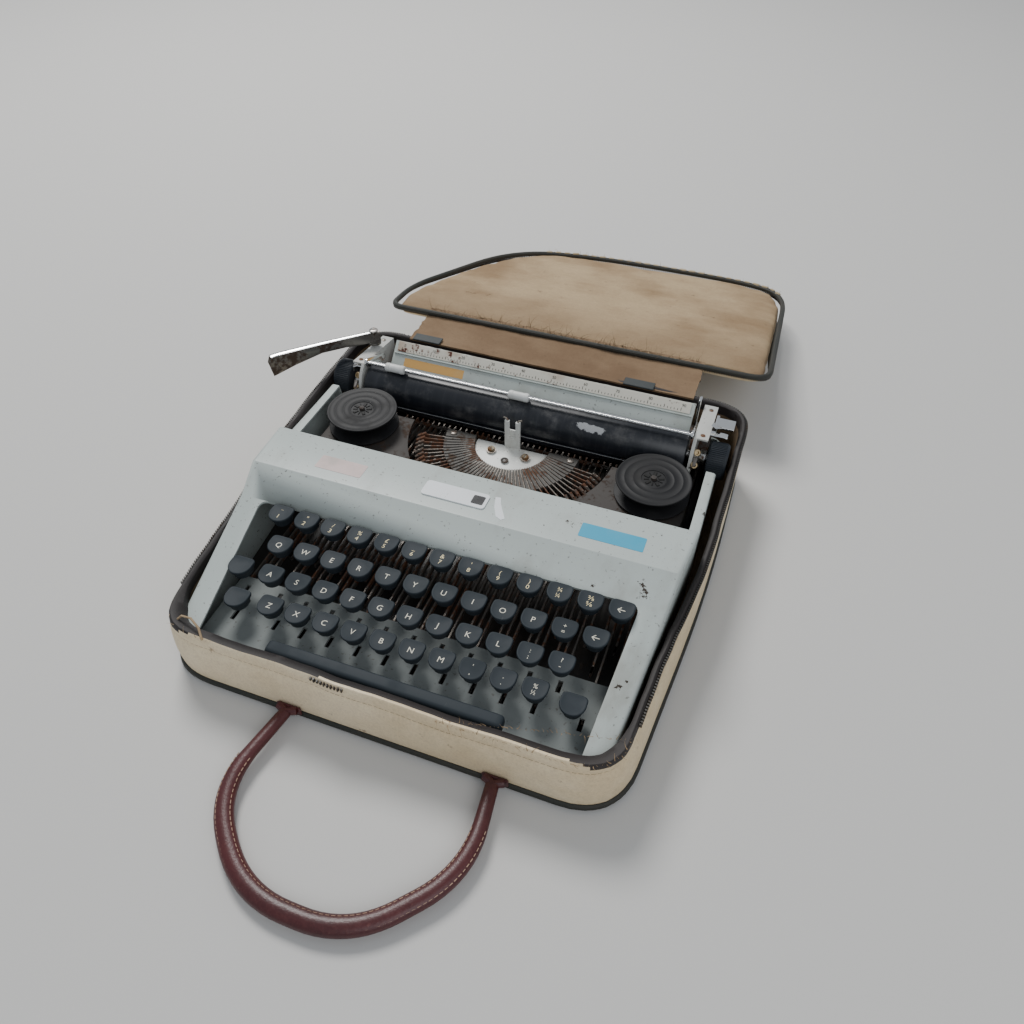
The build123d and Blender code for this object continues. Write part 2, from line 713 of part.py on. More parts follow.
# Apron: the curved plate that hugs the front of the platen.
with BuildPart() as platen_apron:
    inner = PLATEN_RADIUS + APRON_GAP
    outer = inner + APRON_THICK
    middle_angle = (APRON_TOP_ANGLE + APRON_BOTTOM_ANGLE) / 2
    with BuildSketch(side_plane(-END_X)):
        with BuildLine():
            ThreePointArc(
                apron_point(inner, APRON_TOP_ANGLE),
                apron_point(inner, middle_angle),
                apron_point(inner, APRON_BOTTOM_ANGLE),
            )
            Line(apron_point(inner, APRON_BOTTOM_ANGLE), apron_point(outer, APRON_BOTTOM_ANGLE))
            ThreePointArc(
                apron_point(outer, APRON_BOTTOM_ANGLE),
                apron_point(outer, middle_angle),
                apron_point(outer, APRON_TOP_ANGLE),
            )
            Line(apron_point(outer, APRON_TOP_ANGLE), apron_point(inner, APRON_TOP_ANGLE))
        make_face()
    extrude(amount=2 * END_X)
save(platen_apron, "platen_apron")

with BuildPart() as platen:
    with BuildSketch(side_plane(-PLATEN_HALF)):
        with Locations((PLATEN_Y, PLATEN_Z)):
            Circle(PLATEN_RADIUS)
            Circle(AXLE_RADIUS, mode=Mode.SUBTRACT)
    extrude(amount=2 * PLATEN_HALF)
save(platen, "platen")

with BuildPart() as platen_axle:
    with BuildSketch(side_plane(-KNOB_INNER_X)):
        with Locations((PLATEN_Y, PLATEN_Z)):
            Circle(AXLE_RADIUS)
    extrude(amount=2 * KNOB_INNER_X)
save(platen_axle, "platen_axle")

with BuildPart() as platen_knobs:
    for side in (-1, 1):
        with BuildSketch(side_plane(side * KNOB_INNER_X)):
            with Locations((PLATEN_Y, PLATEN_Z)):
                Circle(KNOB_RADIUS)
        extrude(amount=side * (KNOB_OUTER_X - KNOB_INNER_X))
    rims = platen_knobs.edges().filter_by(GeomType.CIRCLE).group_by(Axis.X)
    chamfer(rims[0] + rims[-1], SHEET)
save(platen_knobs, "platen_knobs")

with BuildPart() as bail_bar:
    with BuildSketch(side_plane(-BAIL_ARM_X)):
        with Locations((BAIL_Y, BAIL_Z)):
            Circle(BAIL_RADIUS)
    extrude(amount=2 * BAIL_ARM_X)
    arm_length = sqrt((BAIL_PIVOT_Y - BAIL_Y) ** 2 + (BAIL_PIVOT_Z - BAIL_Z) ** 2)
    arm_turn = degrees(atan2(BAIL_PIVOT_Z - BAIL_Z, BAIL_PIVOT_Y - BAIL_Y))
    for side in (-1, 1):
        with BuildSketch(side_plane(side * BAIL_ARM_X)):
            with Locations(((BAIL_PIVOT_Y + BAIL_Y) / 2, (BAIL_PIVOT_Z + BAIL_Z) / 2)):
                SlotCenterToCenter(arm_length, 6, rotation=arm_turn)
            with Locations((BAIL_PIVOT_Y, BAIL_PIVOT_Z)):
                Circle(ROD_RADIUS + RUN_CLEAR, mode=Mode.SUBTRACT)
        extrude(amount=side * BAIL_ARM_THICK)
save(bail_bar, "bail_bar")

with BuildPart() as bail_rollers:
    for roller_x in ROLLER_XS:
        with BuildSketch(side_plane(roller_x - ROLLER_LENGTH / 2)):
            with Locations((BAIL_Y, BAIL_Z)):
                Circle(ROLLER_RADIUS)
                Circle(BAIL_RADIUS + RUN_CLEAR, mode=Mode.SUBTRACT)
        extrude(amount=ROLLER_LENGTH)
save(bail_rollers, "bail_rollers")

# Carriage return lever: an upright blade that widens into a thumb pad.
blade_run = (RETURN_TIP[0] - RETURN_PIVOT[0], RETURN_TIP[1] - RETURN_PIVOT[1])
blade_length = sqrt(blade_run[0] ** 2 + blade_run[1] ** 2)
blade_plane = Plane(
    origin=(*RETURN_PIVOT, 0),
    x_dir=(blade_run[0], blade_run[1], 0),
    z_dir=(blade_run[1], -blade_run[0], 0),
)
with BuildPart() as return_lever:
    with BuildSketch(blade_plane):
        with BuildLine():
            Polyline(
                (-5, 69.5),
                (-5, RETURN_TOP - 3),
                (0, RETURN_TOP - 1),
                (blade_length, RETURN_TOP + 1),
                (blade_length + 2, RETURN_TOP - 4),
                (blade_length, RETURN_TOP - 17),
                (blade_length - 18, RETURN_TOP - 12),
                (blade_length - 40, RETURN_TOP - 7.5),
                (24, RETURN_TOP - 8),
                (10, 69.5),
                close=True,
            )
        make_face()
    extrude(amount=RETURN_THICK / 2, both=True)
    with BuildSketch(Plane.XY.offset(RETURN_TOP - 11)):
        with Locations(RETURN_PIVOT):
            Circle(5)
    extrude(amount=2)
save(return_lever, "return_lever")

with BuildPart() as paper_release:
    with BuildSketch(side_plane(124.2)):
        with BuildLine():
            Polyline(
                (BED_REAR_Y - 12, BED_TOP + 2),
                (BED_REAR_Y - 5, BED_TOP + 2),
                (BED_REAR_Y - 1, PLATEN_Z + 13),
                (BED_REAR_Y - 1, PLATEN_Z + 19),
                (BED_REAR_Y - 7, PLATEN_Z + 19),
                (BED_REAR_Y - 7, PLATEN_Z + 14),
                close=True,
            )
        make_face()
    extrude(amount=2)
save(paper_release, "paper_release")

PAD_TOP = PLATEN_Z + 15
with BuildPart() as carriage_release:
    with BuildSketch(side_plane(END_X + END_FLANGE + 1)):
        with BuildLine():
            Polyline(
                (PLATEN_Y + 30, PLATEN_Z),
                (PLATEN_Y + 38, PLATEN_Z),
                (PLATEN_Y + 32, PAD_TOP),
                (PLATEN_Y + 18, PAD_TOP),
                (PLATEN_Y + 18, PAD_TOP - SHEET),
                (PLATEN_Y + 24, PAD_TOP - SHEET),
                close=True,
            )
        make_face()
    extrude(amount=2)
    with BuildSketch(Plane.XY.offset(PAD_TOP - SHEET)):
        with Locations((END_X + END_FLANGE + 8, PLATEN_Y + 24)):
            Rectangle(14, 11)
    extrude(amount=SHEET)
save(carriage_release, "carriage_release")

# ---------------------------------------------------------------- keyboard


def key_cap():
    """Key top: round towards the typist, straight at the rear."""
    with BuildSketch(Plane.XY) as cap:
        radius = CAP_WIDTH / 2
        with Locations((0, radius - CAP_DEPTH / 2)):
            Circle(radius)
            with Locations((0, (CAP_DEPTH - radius) / 2)):
                RectangleRounded(CAP_WIDTH, CAP_DEPTH - radius, CAP_CORNER)
            with Locations((0, (CAP_DEPTH - radius) / 4)):
                Rectangle(CAP_WIDTH, (CAP_DEPTH - radius) / 2)
        Rectangle(CAP_WIDTH, CAP_DEPTH, mode=Mode.INTERSECT)
    return cap.sketch


KEY_CAP = key_cap()


def key_solids(x, y, top, lane):
    """One key as two touching solids: the cap on its stem, and the lever it stands on."""
    cap_bottom = top - CAP_HEIGHT
    with BuildPart() as cap:
        with BuildSketch(Plane.XY.offset(cap_bottom)):
            with Locations((x, y)):
                add(KEY_CAP)
        extrude(amount=CAP_HEIGHT)
        with BuildSketch(Plane.XY.offset(LEVER_TOP)):
            with Locations((lane, y)):
                Rectangle(LEVER_THICK, STEM_DEPTH)
        extrude(amount=cap_bottom - LEVER_TOP)
    return [cap.solid(), lever_solid(lane, y)]


def lever_solid(lane, y):
    """A straight lever from below a stem back to the fulcrum rod."""
    front = y - LEVER_NOSE
    back = FULCRUM_Y + LEVER_TAIL
    with BuildPart() as lever:
        with BuildSketch(side_plane(lane - LEVER_THICK / 2)):
            with Locations(((front + back) / 2, (LEVER_TOP + LEVER_BOTTOM) / 2)):
                Rectangle(back - front, LEVER_HEIGHT)
            with Locations((FULCRUM_Y, FULCRUM_Z)):
                Circle(ROD_RADIUS + RUN_CLEAR, mode=Mode.SUBTRACT)
        extrude(amount=LEVER_THICK)
    return lever.solid()


def save_group(solids, name):
    """Label solids that only touch each other and write them as one node."""
    group = Compound(solids)
    group.label = name
    export_step(group, f"parts/{name}.step")


for letters, first_x, row_y, top_z in LETTER_ROWS:
    for place, letter in enumerate(letters):
        key_x = first_x + KEY_PITCH * place
        save_group(key_solids(key_x, row_y, top_z, key_x), f"key_{letter}")

number_count, number_x, number_y, number_z = NUMBER_ROW
other_keys = []
for place in range(number_count):
    key_x = number_x + KEY_PITCH * place
    other_keys += key_solids(key_x, number_y, number_z, key_x)
for key_x, key_y, key_z in SYMBOL_KEYS:
    other_keys += key_solids(key_x, key_y, key_z, key_x)
save_group(other_keys, "number_symbol_keys")

save_group(key_solids(*BACKSPACE, BACKSPACE[0]), "backspace_key")
save_group(key_solids(*SHIFT_LOCK, SHIFT_LOCK_LANE), "shift_lock_key")
both_shifts = key_solids(*LEFT_SHIFT, LEFT_SHIFT_LANE) + key_solids(*RIGHT_SHIFT, RIGHT_SHIFT_LANE)
save_group(both_shifts, "shift_keys")

with BuildPart() as space_cap:
    with BuildSketch(Plane.XY.offset(SPACE_Z - SPACE_HEIGHT)):
        with Locations((0, SPACE_Y)):
            RectangleRounded(2 * SPACE_HALF, SPACE_DEPTH, SPACE_DEPTH / 3)
    extrude(amount=SPACE_HEIGHT)
    with BuildSketch(Plane.XY.offset(LEVER_TOP)):
        with Locations((-SPACE_POST_X, SPACE_Y), (SPACE_POST_X, SPACE_Y)):
            Rectangle(LEVER_THICK, STEM_DEPTH)
    extrude(amount=SPACE_Z - SPACE_HEIGHT - LEVER_TOP)

arm_inner = SPACE_ARM_X - LEVER_THICK / 2
with BuildPart() as space_cross_bar:
    with BuildSketch(side_plane(-arm_inner)):
        with Locations((SPACE_Y, (LEVER_TOP + LEVER_BOTTOM) / 2)):
            Rectangle(STEM_DEPTH, LEVER_HEIGHT)
    extrude(amount=2 * arm_inner)
space_solids = [space_cap.solid(), space_cross_bar.solid()]
space_solids += [lever_solid(side * SPACE_ARM_X, SPACE_Y) for side in (-1, 1)]
save_group(space_solids, "space_bar")
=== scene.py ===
# %% [markdown]
# A portable typewriter in its open zip case, finished over a ready mechanical frame.
# The frame brings every moving part in at its true place. This script gives each part its
# surface, rounds the sheet metal, and makes the soft case, the lid and the handle.
# It can be read from top to bottom: helpers first, then finishes, then one piece at a time.

# %% Load the frame
import json
from math import cos, degrees, hypot, pi, radians, sin

import bmesh
import bpy
from mathutils import Matrix, Vector, noise


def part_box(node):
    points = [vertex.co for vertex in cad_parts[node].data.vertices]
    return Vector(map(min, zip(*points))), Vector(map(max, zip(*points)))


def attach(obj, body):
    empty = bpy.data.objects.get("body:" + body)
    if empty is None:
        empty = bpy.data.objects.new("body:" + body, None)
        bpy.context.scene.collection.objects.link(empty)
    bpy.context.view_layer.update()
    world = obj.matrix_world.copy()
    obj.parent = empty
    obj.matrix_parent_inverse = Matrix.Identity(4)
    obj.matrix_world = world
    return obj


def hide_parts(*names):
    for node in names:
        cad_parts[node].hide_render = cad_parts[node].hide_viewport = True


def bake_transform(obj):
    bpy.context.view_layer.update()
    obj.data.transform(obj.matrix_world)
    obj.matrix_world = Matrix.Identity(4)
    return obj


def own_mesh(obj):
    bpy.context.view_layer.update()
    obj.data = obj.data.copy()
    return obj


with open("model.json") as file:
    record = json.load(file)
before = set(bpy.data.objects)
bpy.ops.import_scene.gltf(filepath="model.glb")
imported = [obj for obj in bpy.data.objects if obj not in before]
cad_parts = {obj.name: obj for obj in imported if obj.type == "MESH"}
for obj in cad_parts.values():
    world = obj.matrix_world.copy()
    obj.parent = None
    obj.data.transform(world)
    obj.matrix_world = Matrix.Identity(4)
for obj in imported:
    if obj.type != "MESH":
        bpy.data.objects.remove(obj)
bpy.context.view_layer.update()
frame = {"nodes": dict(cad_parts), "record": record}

nodes = frame["nodes"]
body_of_node = {n: b for b, names in frame["record"]["behaviour"]["bodies"].items() for n in names}
MM = 0.001

# %% [markdown]
# Node maths reads best as ordinary arithmetic. The class below wraps one socket, and the
# usual operators on it add Math nodes, so a mask can be written as 1 - dust * 0.5.
# One method makes any other node from its type, its settings and its inputs. Materials and
# geometry groups share it.

# %% Sockets as numbers


class Wire:
    """A value in a node tree that can be added, multiplied and compared."""

    def __init__(self, group, socket):
        self.group, self.socket = group, socket

    def _math(self, operation, *values):
        return self.group.node("ShaderNodeMath", {"operation": operation}, list(values))

    def __add__(self, other): return self._math("ADD", self, other)
    def __radd__(self, other): return self._math("ADD", other, self)
    def __sub__(self, other): return self._math("SUBTRACT", self, other)
    def __rsub__(self, other): return self._math("SUBTRACT", other, self)
    def __mul__(self, other): return self._math("MULTIPLY", self, other)
    def __rmul__(self, other): return self._math("MULTIPLY", other, self)
    def __truediv__(self, other): return self._math("DIVIDE", self, other)
    def power(self, other): return self._math("POWER", self, other)
    def above(self, other): return self._math("GREATER_THAN", self, other)
    def size(self): return self._math("ABSOLUTE", self)

    def ramp(self, low, high):
        """0 below low, 1 above high, and a smooth step between."""
        settings = {"interpolation_type": "SMOOTHSTEP"}
        return self.group.node("ShaderNodeMapRange", settings, [self, low, high, 0.0, 1.0])


class Group:
    """A node tree that grows one node at a time."""

    def __init__(self, tree):
        self.tree = tree
        self.tree.nodes.clear()

    def node(self, kind, settings, inputs, output=0):
        """A node of that type: settings first, then its inputs as a list or by name."""
        made = self.tree.nodes.new(kind)
        for key, value in settings.items():
            setattr(made, key, value)
        pairs = inputs.items() if isinstance(inputs, dict) else enumerate(inputs)
        for key, value in pairs:
            if isinstance(value, Wire):
                self.tree.links.new(value.socket, made.inputs[key])
            elif value is not None:
                made.inputs[key].default_value = value
        return Wire(self, made.outputs[output])


class Finish(Group):
    """One procedural material."""

    def __init__(self, name):
        self.material = bpy.data.materials.new(name)
        self.material.use_nodes = True
        super().__init__(self.material.node_tree)
        self.shader = self.tree.nodes.new("ShaderNodeBsdfPrincipled")
        output = self.tree.nodes.new("ShaderNodeOutputMaterial")
        self.tree.links.new(self.shader.outputs[0], output.inputs[0])
        self.place = self.node("ShaderNodeTexCoord", {}, [], "Object")

    def stretch(self, x, y, z):
        """Object coordinates stretched along each axis."""
        return self.node("ShaderNodeVectorMath", {"operation": "MULTIPLY"}, [self.place, (x, y, z)])

    def axis(self, name):
        """One coordinate of the piece, in metres."""
        return self.node("ShaderNodeSeparateXYZ", {}, [self.place], name)

    def noise(self, scale, detail=4.0, rough=0.55, place=None):
        inputs = {"Vector": place or self.place, "Scale": scale, "Detail": detail, "Roughness": rough}
        return self.node("ShaderNodeTexNoise", {}, inputs)

    def blend(self, mask, low, high):
        """Colour low where the mask is 0 and high where it is 1."""
        low = (*low, 1.0) if isinstance(low, tuple) else low
        high = (*high, 1.0) if isinstance(high, tuple) else high
        return self.node("ShaderNodeMix", {"data_type": "RGBA"}, {0: mask, 6: low, 7: high}, 2)

    def bump(self, height, strength, distance):
        inputs = {"Strength": strength, "Distance": distance, "Height": height}
        return self.node("ShaderNodeBump", {}, inputs)

    def done(self, **sockets):
        """Sets the shader's sockets by name, with _ for a space, and returns the material."""
        for key, value in sockets.items():
            target = self.shader.inputs[key.replace("_", " ")]
            if isinstance(value, Wire):
                self.tree.links.new(value.socket, target)
            else:
                target.default_value = (*value, 1.0) if isinstance(value, tuple) else value
        return self.material


print("shader helpers are ready")

# %% [markdown]
# Most parts share a few kinds of ageing, so each kind is one function: enamel that chips to
# dark steel, bare steel that rusts, plastic that gathers dust, and cloth that soils unevenly.
# The chips follow a flat noise rather than the mesh, so they cross facets as real chips do.

# %% Finish recipes


def enamel(name, paint, grime, chips=0.60, under=(0.06, 0.045, 0.035), rough=0.38, cover=0.75):
    """Stoved enamel on steel with grime in patches, fine specks and chips to the metal."""
    f = Finish(name)
    soft = f.noise(9.0)
    streaks = f.noise(30.0, 6.0, 0.62, f.stretch(1.0, 0.45, 1.0))
    dirt = (soft * 0.5 + streaks * 0.5).ramp(0.50, 0.72)
    specks = f.noise(420.0, 2.0, 0.5).ramp(0.66, 0.72)
    chip = (f.noise(75.0, 5.0, 0.7) * 0.75 + f.noise(14.0, 2.0) * 0.25).ramp(chips, chips + 0.015)
    shade = f.blend(dirt * cover, paint, grime)
    shade = f.blend(specks * 0.5, shade, under)
    shade = f.blend(chip, shade, under)
    height = f.noise(260.0, 3.0) * 0.15 - chip * 0.6
    return f.done(
        Base_Color=shade,
        Roughness=dirt * 0.25 + chip * 0.3 + rough,
        Metallic=chip * 0.5,
        Normal=f.bump(height, 0.25, 0.0004),
    )


def worn_edge(name, paint, under=(0.10, 0.085, 0.075)):
    """The rim of an enamelled sheet: mostly rubbed through to dull metal."""
    f = Finish(name)
    worn = (f.noise(60.0, 5.0, 0.7) * 0.7 + f.noise(11.0, 2.0) * 0.3).ramp(0.44, 0.50)
    shade = f.blend(worn, paint, under)
    normal = f.bump(worn * -0.5, 0.3, 0.0003)
    return f.done(Base_Color=shade, Roughness=worn * 0.15 + 0.42, Metallic=worn * 0.55, Normal=normal)


def steel(name, clean, rust, amount, rough=0.42, metal=0.85, grain=300.0):
    """Bare steel with brown rust in blotches; amount from 0 to 1 says how much."""
    f = Finish(name)
    blotch = f.noise(55.0, 6.0, 0.68) * 0.7 + f.noise(330.0, 3.0) * 0.3
    rusty = blotch.ramp(0.66 - 0.3 * amount, 0.76 - 0.3 * amount)
    tint = f.noise(120.0, 4.0)
    warm = f.blend(tint, rust, (rust[0] * 1.9, rust[1] * 1.7, rust[2] * 1.5))
    shade = f.blend(rusty, clean, warm)
    height = f.noise(grain, 4.0, 0.6) * (rusty * 0.8 + 0.2)
    return f.done(
        Base_Color=shade,
        Roughness=rusty * 0.4 + rough,
        Metallic=(1 - rusty) * metal,
        Normal=f.bump(height, 0.35, 0.0003),
    )


def plastic(name, colour, dust, amount=0.35, rough=0.42, coat=0.0):
    """Moulded plastic with a fine grain, dust in patches and a few pale scuffs."""
    f = Finish(name)
    cover = f.noise(34.0, 5.0, 0.6).ramp(0.46, 0.74)
    scuff = f.noise(160.0, 6.0, 0.75, f.stretch(1.0, 0.25, 1.0)).ramp(0.66, 0.72)
    shade = f.blend(cover * amount, colour, dust)
    shade = f.blend(scuff * 0.35, shade, dust)
    normal = f.bump(f.noise(900.0, 2.0), 0.12, 0.0002)
    sheen = {"Specular_IOR_Level": 0.32, "Coat_Weight": coat}
    return f.done(Base_Color=shade, Roughness=cover * 0.25 + rough, Normal=normal, **sheen)


def cloth(name, clean, soil, dark, weave=1500.0, rough=0.9, nap=0.5, browned=None):
    """Brushed or coated cloth, soiled in clouds and spots, and browner towards a Y if given."""
    f = Finish(name)
    cloud = f.noise(8.0, 5.0, 0.6) * 0.6 + f.noise(26.0, 4.0, 0.6, f.stretch(0.5, 1.0, 1.0)) * 0.4
    spots = f.noise(90.0, 6.0, 0.7).ramp(0.62, 0.72)
    fibre = f.noise(weave, 3.0, 0.7) * 0.6 + f.noise(weave / 4, 4.0, 0.7) * 0.4
    shade = f.blend(cloud.ramp(0.40, 0.66), clean, soil)
    shade = f.blend(spots * 0.7, shade, dark)
    if browned:
        shade = f.blend((1 - f.axis("Y").ramp(*browned)) * 0.55, shade, (0.21, 0.135, 0.075))
    shade = f.blend(fibre.ramp(0.35, 0.75) * 0.25, shade, dark)
    normal = f.bump(fibre + spots * 0.2, nap, 0.0006)
    return f.done(Base_Color=shade, Roughness=rough, Normal=normal)


print("finish recipes are ready")

# %% [markdown]
# The finishes of this machine. Colours are linear values of a pale grey-green enamel, a dull
# grey key floor, slate key tops, rusted type steel, bright chrome, and a soiled cream case.

# %% Finishes
PAINT = (0.49, 0.54, 0.515)
GRIME = (0.22, 0.205, 0.17)
body_paint = enamel("pale_enamel", PAINT, GRIME, 0.635, cover=0.82)
body_edge = worn_edge("pale_enamel_edge", PAINT)
floor_paint = enamel("floor_enamel", (0.20, 0.22, 0.215), (0.14, 0.145, 0.135), 0.72, rough=0.70, cover=0.5)
floor_edge = worn_edge("floor_enamel_edge", (0.23, 0.27, 0.28))
end_paint = enamel("end_enamel", (0.55, 0.55, 0.515), (0.24, 0.20, 0.15), 0.66)
end_edge = worn_edge("end_enamel_edge", (0.55, 0.55, 0.515))
table_paint = enamel("table_enamel", (0.50, 0.55, 0.52), (0.30, 0.29, 0.24), 0.70)
plate_steel = steel("brown_plate", (0.042, 0.036, 0.032), (0.034, 0.022, 0.016), 0.5, 0.62, 0.2)
frame_steel = steel("frame_steel", (0.13, 0.12, 0.11), (0.07, 0.035, 0.02), 0.75, 0.5, 0.5)
lever_steel = steel("lever_steel", (0.22, 0.20, 0.18), (0.10, 0.045, 0.022), 0.62, 0.42, 0.7)
type_steel = steel("type_steel", (0.13, 0.115, 0.10), (0.085, 0.038, 0.02), 0.62, 0.45, 0.6)
slug_steel = steel("slug_steel", (0.34, 0.30, 0.26), (0.12, 0.06, 0.03), 0.50, 0.36, 0.8)
segment_iron = steel("segment_iron", (0.085, 0.08, 0.073), (0.05, 0.036, 0.027), 0.48, 0.6, 0.35)
chrome = steel("bright_chrome", (0.86, 0.86, 0.85), (0.30, 0.22, 0.15), 0.06, 0.16, 1.0)
worn_chrome = steel("worn_chrome", (0.62, 0.61, 0.59), (0.10, 0.06, 0.035), 0.36, 0.24, 1.0)
# Dark steel for the screw slots and the cover hole: painted shade of these recesses, with some rust.
recess_shade_steel = steel("lever_dark_side", (0.10, 0.095, 0.09), (0.035, 0.022, 0.015), 0.65, 0.4, 0.6)
key_plastic = plastic("key_slate", (0.020, 0.028, 0.035), (0.085, 0.09, 0.09), 0.14, 0.62)
legend_cream = plastic("legend_cream", (0.72, 0.69, 0.58), (0.5, 0.46, 0.36), 0.3, 0.5)
legend_yellow = plastic("legend_yellow", (0.80, 0.69, 0.42), (0.60, 0.50, 0.30), 0.2, 0.5)
spool_plastic = plastic("spool_black", (0.010, 0.010, 0.011), (0.07, 0.065, 0.06), 0.2, 0.55)
knob_plastic = plastic("knob_slate", (0.018, 0.023, 0.030), (0.12, 0.12, 0.12), 0.3, 0.5)
apron_black = plastic("apron_black", (0.013, 0.015, 0.022), (0.14, 0.14, 0.15), 0.16, 0.30)
roller_white = plastic("roller_white", (0.72, 0.73, 0.71), (0.30, 0.27, 0.22), 0.4, 0.35)
pan_black = enamel("pan_black", (0.020, 0.018, 0.016), (0.07, 0.05, 0.035), 0.62)
case_vinyl = cloth("case_vinyl", (0.90, 0.76, 0.53), (0.72, 0.57, 0.35), (0.24, 0.14, 0.07), 700.0, 0.6, 0.22)
lid_suede = cloth("lid_suede", (0.50, 0.37, 0.22), (0.29, 0.19, 0.10), (0.10, 0.058, 0.03), 1100.0, 0.95, 0.9,
                  (0.19, 0.30))
spine_suede = cloth("spine_suede", (0.27, 0.18, 0.105), (0.18, 0.11, 0.06), (0.07, 0.04, 0.02), 1300.0,
    0.95, 0.9)
lining_suede = cloth("lining_suede", (0.24, 0.165, 0.095), (0.15, 0.10, 0.06), (0.05, 0.03, 0.018), 1300.0,
    0.95, 0.8)
binding = cloth("dark_binding", (0.016, 0.013, 0.013), (0.026, 0.020, 0.019), (0.05, 0.036, 0.028), 2200.0,
    0.6, 0.35)
piping_green = cloth("green_piping", (0.014, 0.019, 0.016), (0.028, 0.026, 0.02), (0.08, 0.06, 0.04),
    2600.0, 0.6, 0.4)
fray = cloth("frayed_fibre", (0.42, 0.31, 0.19), (0.30, 0.20, 0.11), (0.10, 0.06, 0.03), 900.0, 0.9, 0.3)
tab_dark = cloth("dark_tab", (0.020, 0.030, 0.033), (0.035, 0.04, 0.04), (0.08, 0.08, 0.07), 2600.0, 0.6, 0.4)
leather = cloth("handle_leather", (0.075, 0.014, 0.016), (0.04, 0.010, 0.011), (0.16, 0.05, 0.045), 800.0,
    0.36, 0.3)
thread = cloth("stitch_thread", (0.42, 0.28, 0.20), (0.28, 0.17, 0.12), (0.12, 0.07, 0.05), 3000.0, 0.8, 0.2)
card_white = plastic("plate_white", (0.80, 0.82, 0.84), (0.45, 0.42, 0.36), 0.15, 0.3)
card_black = plastic("plate_black", (0.02, 0.02, 0.022), (0.2, 0.2, 0.2), 0.15, 0.3)
card_cyan = plastic("sticker_cyan", (0.045, 0.37, 0.56), (0.35, 0.45, 0.48), 0.2, 0.45)
card_pink = plastic("sticker_faded", (0.68, 0.55, 0.52), (0.50, 0.46, 0.42), 0.7, 0.6)
card_orange = plastic("label_orange", (0.72, 0.42, 0.14), (0.62, 0.45, 0.26), 0.5, 0.6)
print("made", len(bpy.data.materials), "materials")

# %% [markdown]
# Meshes are made in four ways: a skin over a row of rings, a ring turned about an axis, a
# copy of a frame node with its edges rounded, or words turned to a mesh.
# Everything is placed in its mesh, so every object keeps its origin at the frame's own.

# %% Mesh helpers


def add_object(name, mesh, *materials):
    for material in materials:
        mesh.materials.append(material)
    made = bpy.data.objects.new(name, mesh)
    bpy.context.scene.collection.objects.link(made)
    return made


def from_bmesh(name, work, *materials):
    mesh = bpy.data.meshes.new(name)
    work.to_mesh(mesh)
    work.free()
    return add_object(name, mesh, *materials)


def skin(name, rings, *materials, closed=True, loop=False, paint=None):
    """A skin over rings of equal length. paint(ring index) picks the material of each band."""
    work = bmesh.new()
    rows = [[work.verts.new(point) for point in ring] for ring in rings]
    count = len(rows[0])
    pairs = list(zip(rows, rows[1:])) + ([(rows[-1], rows[0])] if loop else [])
    for band, (low, high) in enumerate(pairs):
        for i in range(count):
            j = (i + 1) % count
            face = work.faces.new((low[i], low[j], high[j], high[i]))
            face.material_index = paint(band) if paint else 0
    if closed and not loop:
        work.faces.new(reversed(rows[0]))
        work.faces.new(rows[-1]).material_index = paint(len(rows) - 2) if paint else 0
    bmesh.ops.recalc_face_normals(work, faces=work.faces)
    return from_bmesh(name, work, *materials)


def lathe(name, profile, centre, axis, *materials, count=64, paint=None):
    """A solid of revolution: profile gives (radius, distance along the axis)."""
    turn = Vector((0, 0, 1)).rotation_difference(Vector(axis)).to_matrix()
    rings = []
    for radius, along in profile:
        ring = [(radius * cos(2 * pi * i / count), radius * sin(2 * pi * i / count),
            along) for i in range(count)]
        rings.append([turn @ Vector(point) + Vector(centre) for point in ring])
    return skin(name, rings, *materials, paint=paint)


def tube(name, path, radius, *materials, sides=10, closed_path=False, flat=1.0):
    """A round or flattened tube along a path of points."""
    count = len(path)
    rings = []
    for i in range(count):
        before = path[i - 1] if (i or closed_path) else path[i]
        after = path[(i + 1) % count] if (i < count - 1 or closed_path) else path[i]
        along = (Vector(after) - Vector(before)).normalized()
        across = along.cross(Vector((0, 0, 1))).normalized()
        up = across.cross(along).normalized()
        size = radius(i / (count - 1)) if callable(radius) else radius
        ring = []
        for k in range(sides):
            angle = 2 * pi * k / sides
            ring.append(Vector(path[i]) + across * cos(angle) * size + up * sin(angle) * size * flat)
        rings.append(ring)
    return skin(name, rings, *materials, loop=closed_path)


def plate(name, outline, low, high, *materials):
    """A flat plate: an outline in x and y between two heights, which may be functions."""
    rings = []
    for height in (low, high):
        rings.append([(x, y, height(x, y) if callable(height) else height) for x, y in outline])
    return skin(name, rings, *materials)


def cad_work(node):
    """A frame node's mesh as an editable copy: corners merged, flat faces in one piece."""
    work = bmesh.new()
    work.from_mesh(nodes[node].data)
    bmesh.ops.remove_doubles(work, verts=work.verts, dist=2e-6)
    bmesh.ops.dissolve_limit(work, angle_limit=radians(1.2), verts=work.verts, edges=work.edges)
    return work


def islands(work):
    """The separate solids in a mesh, each as a set of vertices."""
    left, groups = set(work.verts), []
    while left:
        front = [left.pop()]
        group = set(front)
        while front:
            vertex = front.pop()
            for edge in vertex.link_edges:
                other = edge.other_vert(vertex)
                if other in left:
                    left.discard(other)
                    group.add(other)
                    front.append(other)
        groups.append(group)
    return groups


def extent(vertices):
    xs, ys, zs = zip(*(v.co for v in vertices))
    return Vector((min(xs), min(ys), min(zs))), Vector((max(xs), max(ys), max(zs)))


def bend_of(edge):
    return degrees(edge.calc_face_angle(0.0))


def round_edges(work, edges, width, steps=2, material=-1):
    bmesh.ops.bevel(
        work,
        geom=list(edges),
        offset=width * MM,
        segments=steps,
        profile=0.6,
        affect="EDGES",
        clamp_overlap=True,
        material=material,
    )


def smooth(made, angle=32):
    made.data.shade_smooth()
    made.data.set_sharp_from_angle(angle=radians(angle))
    return made


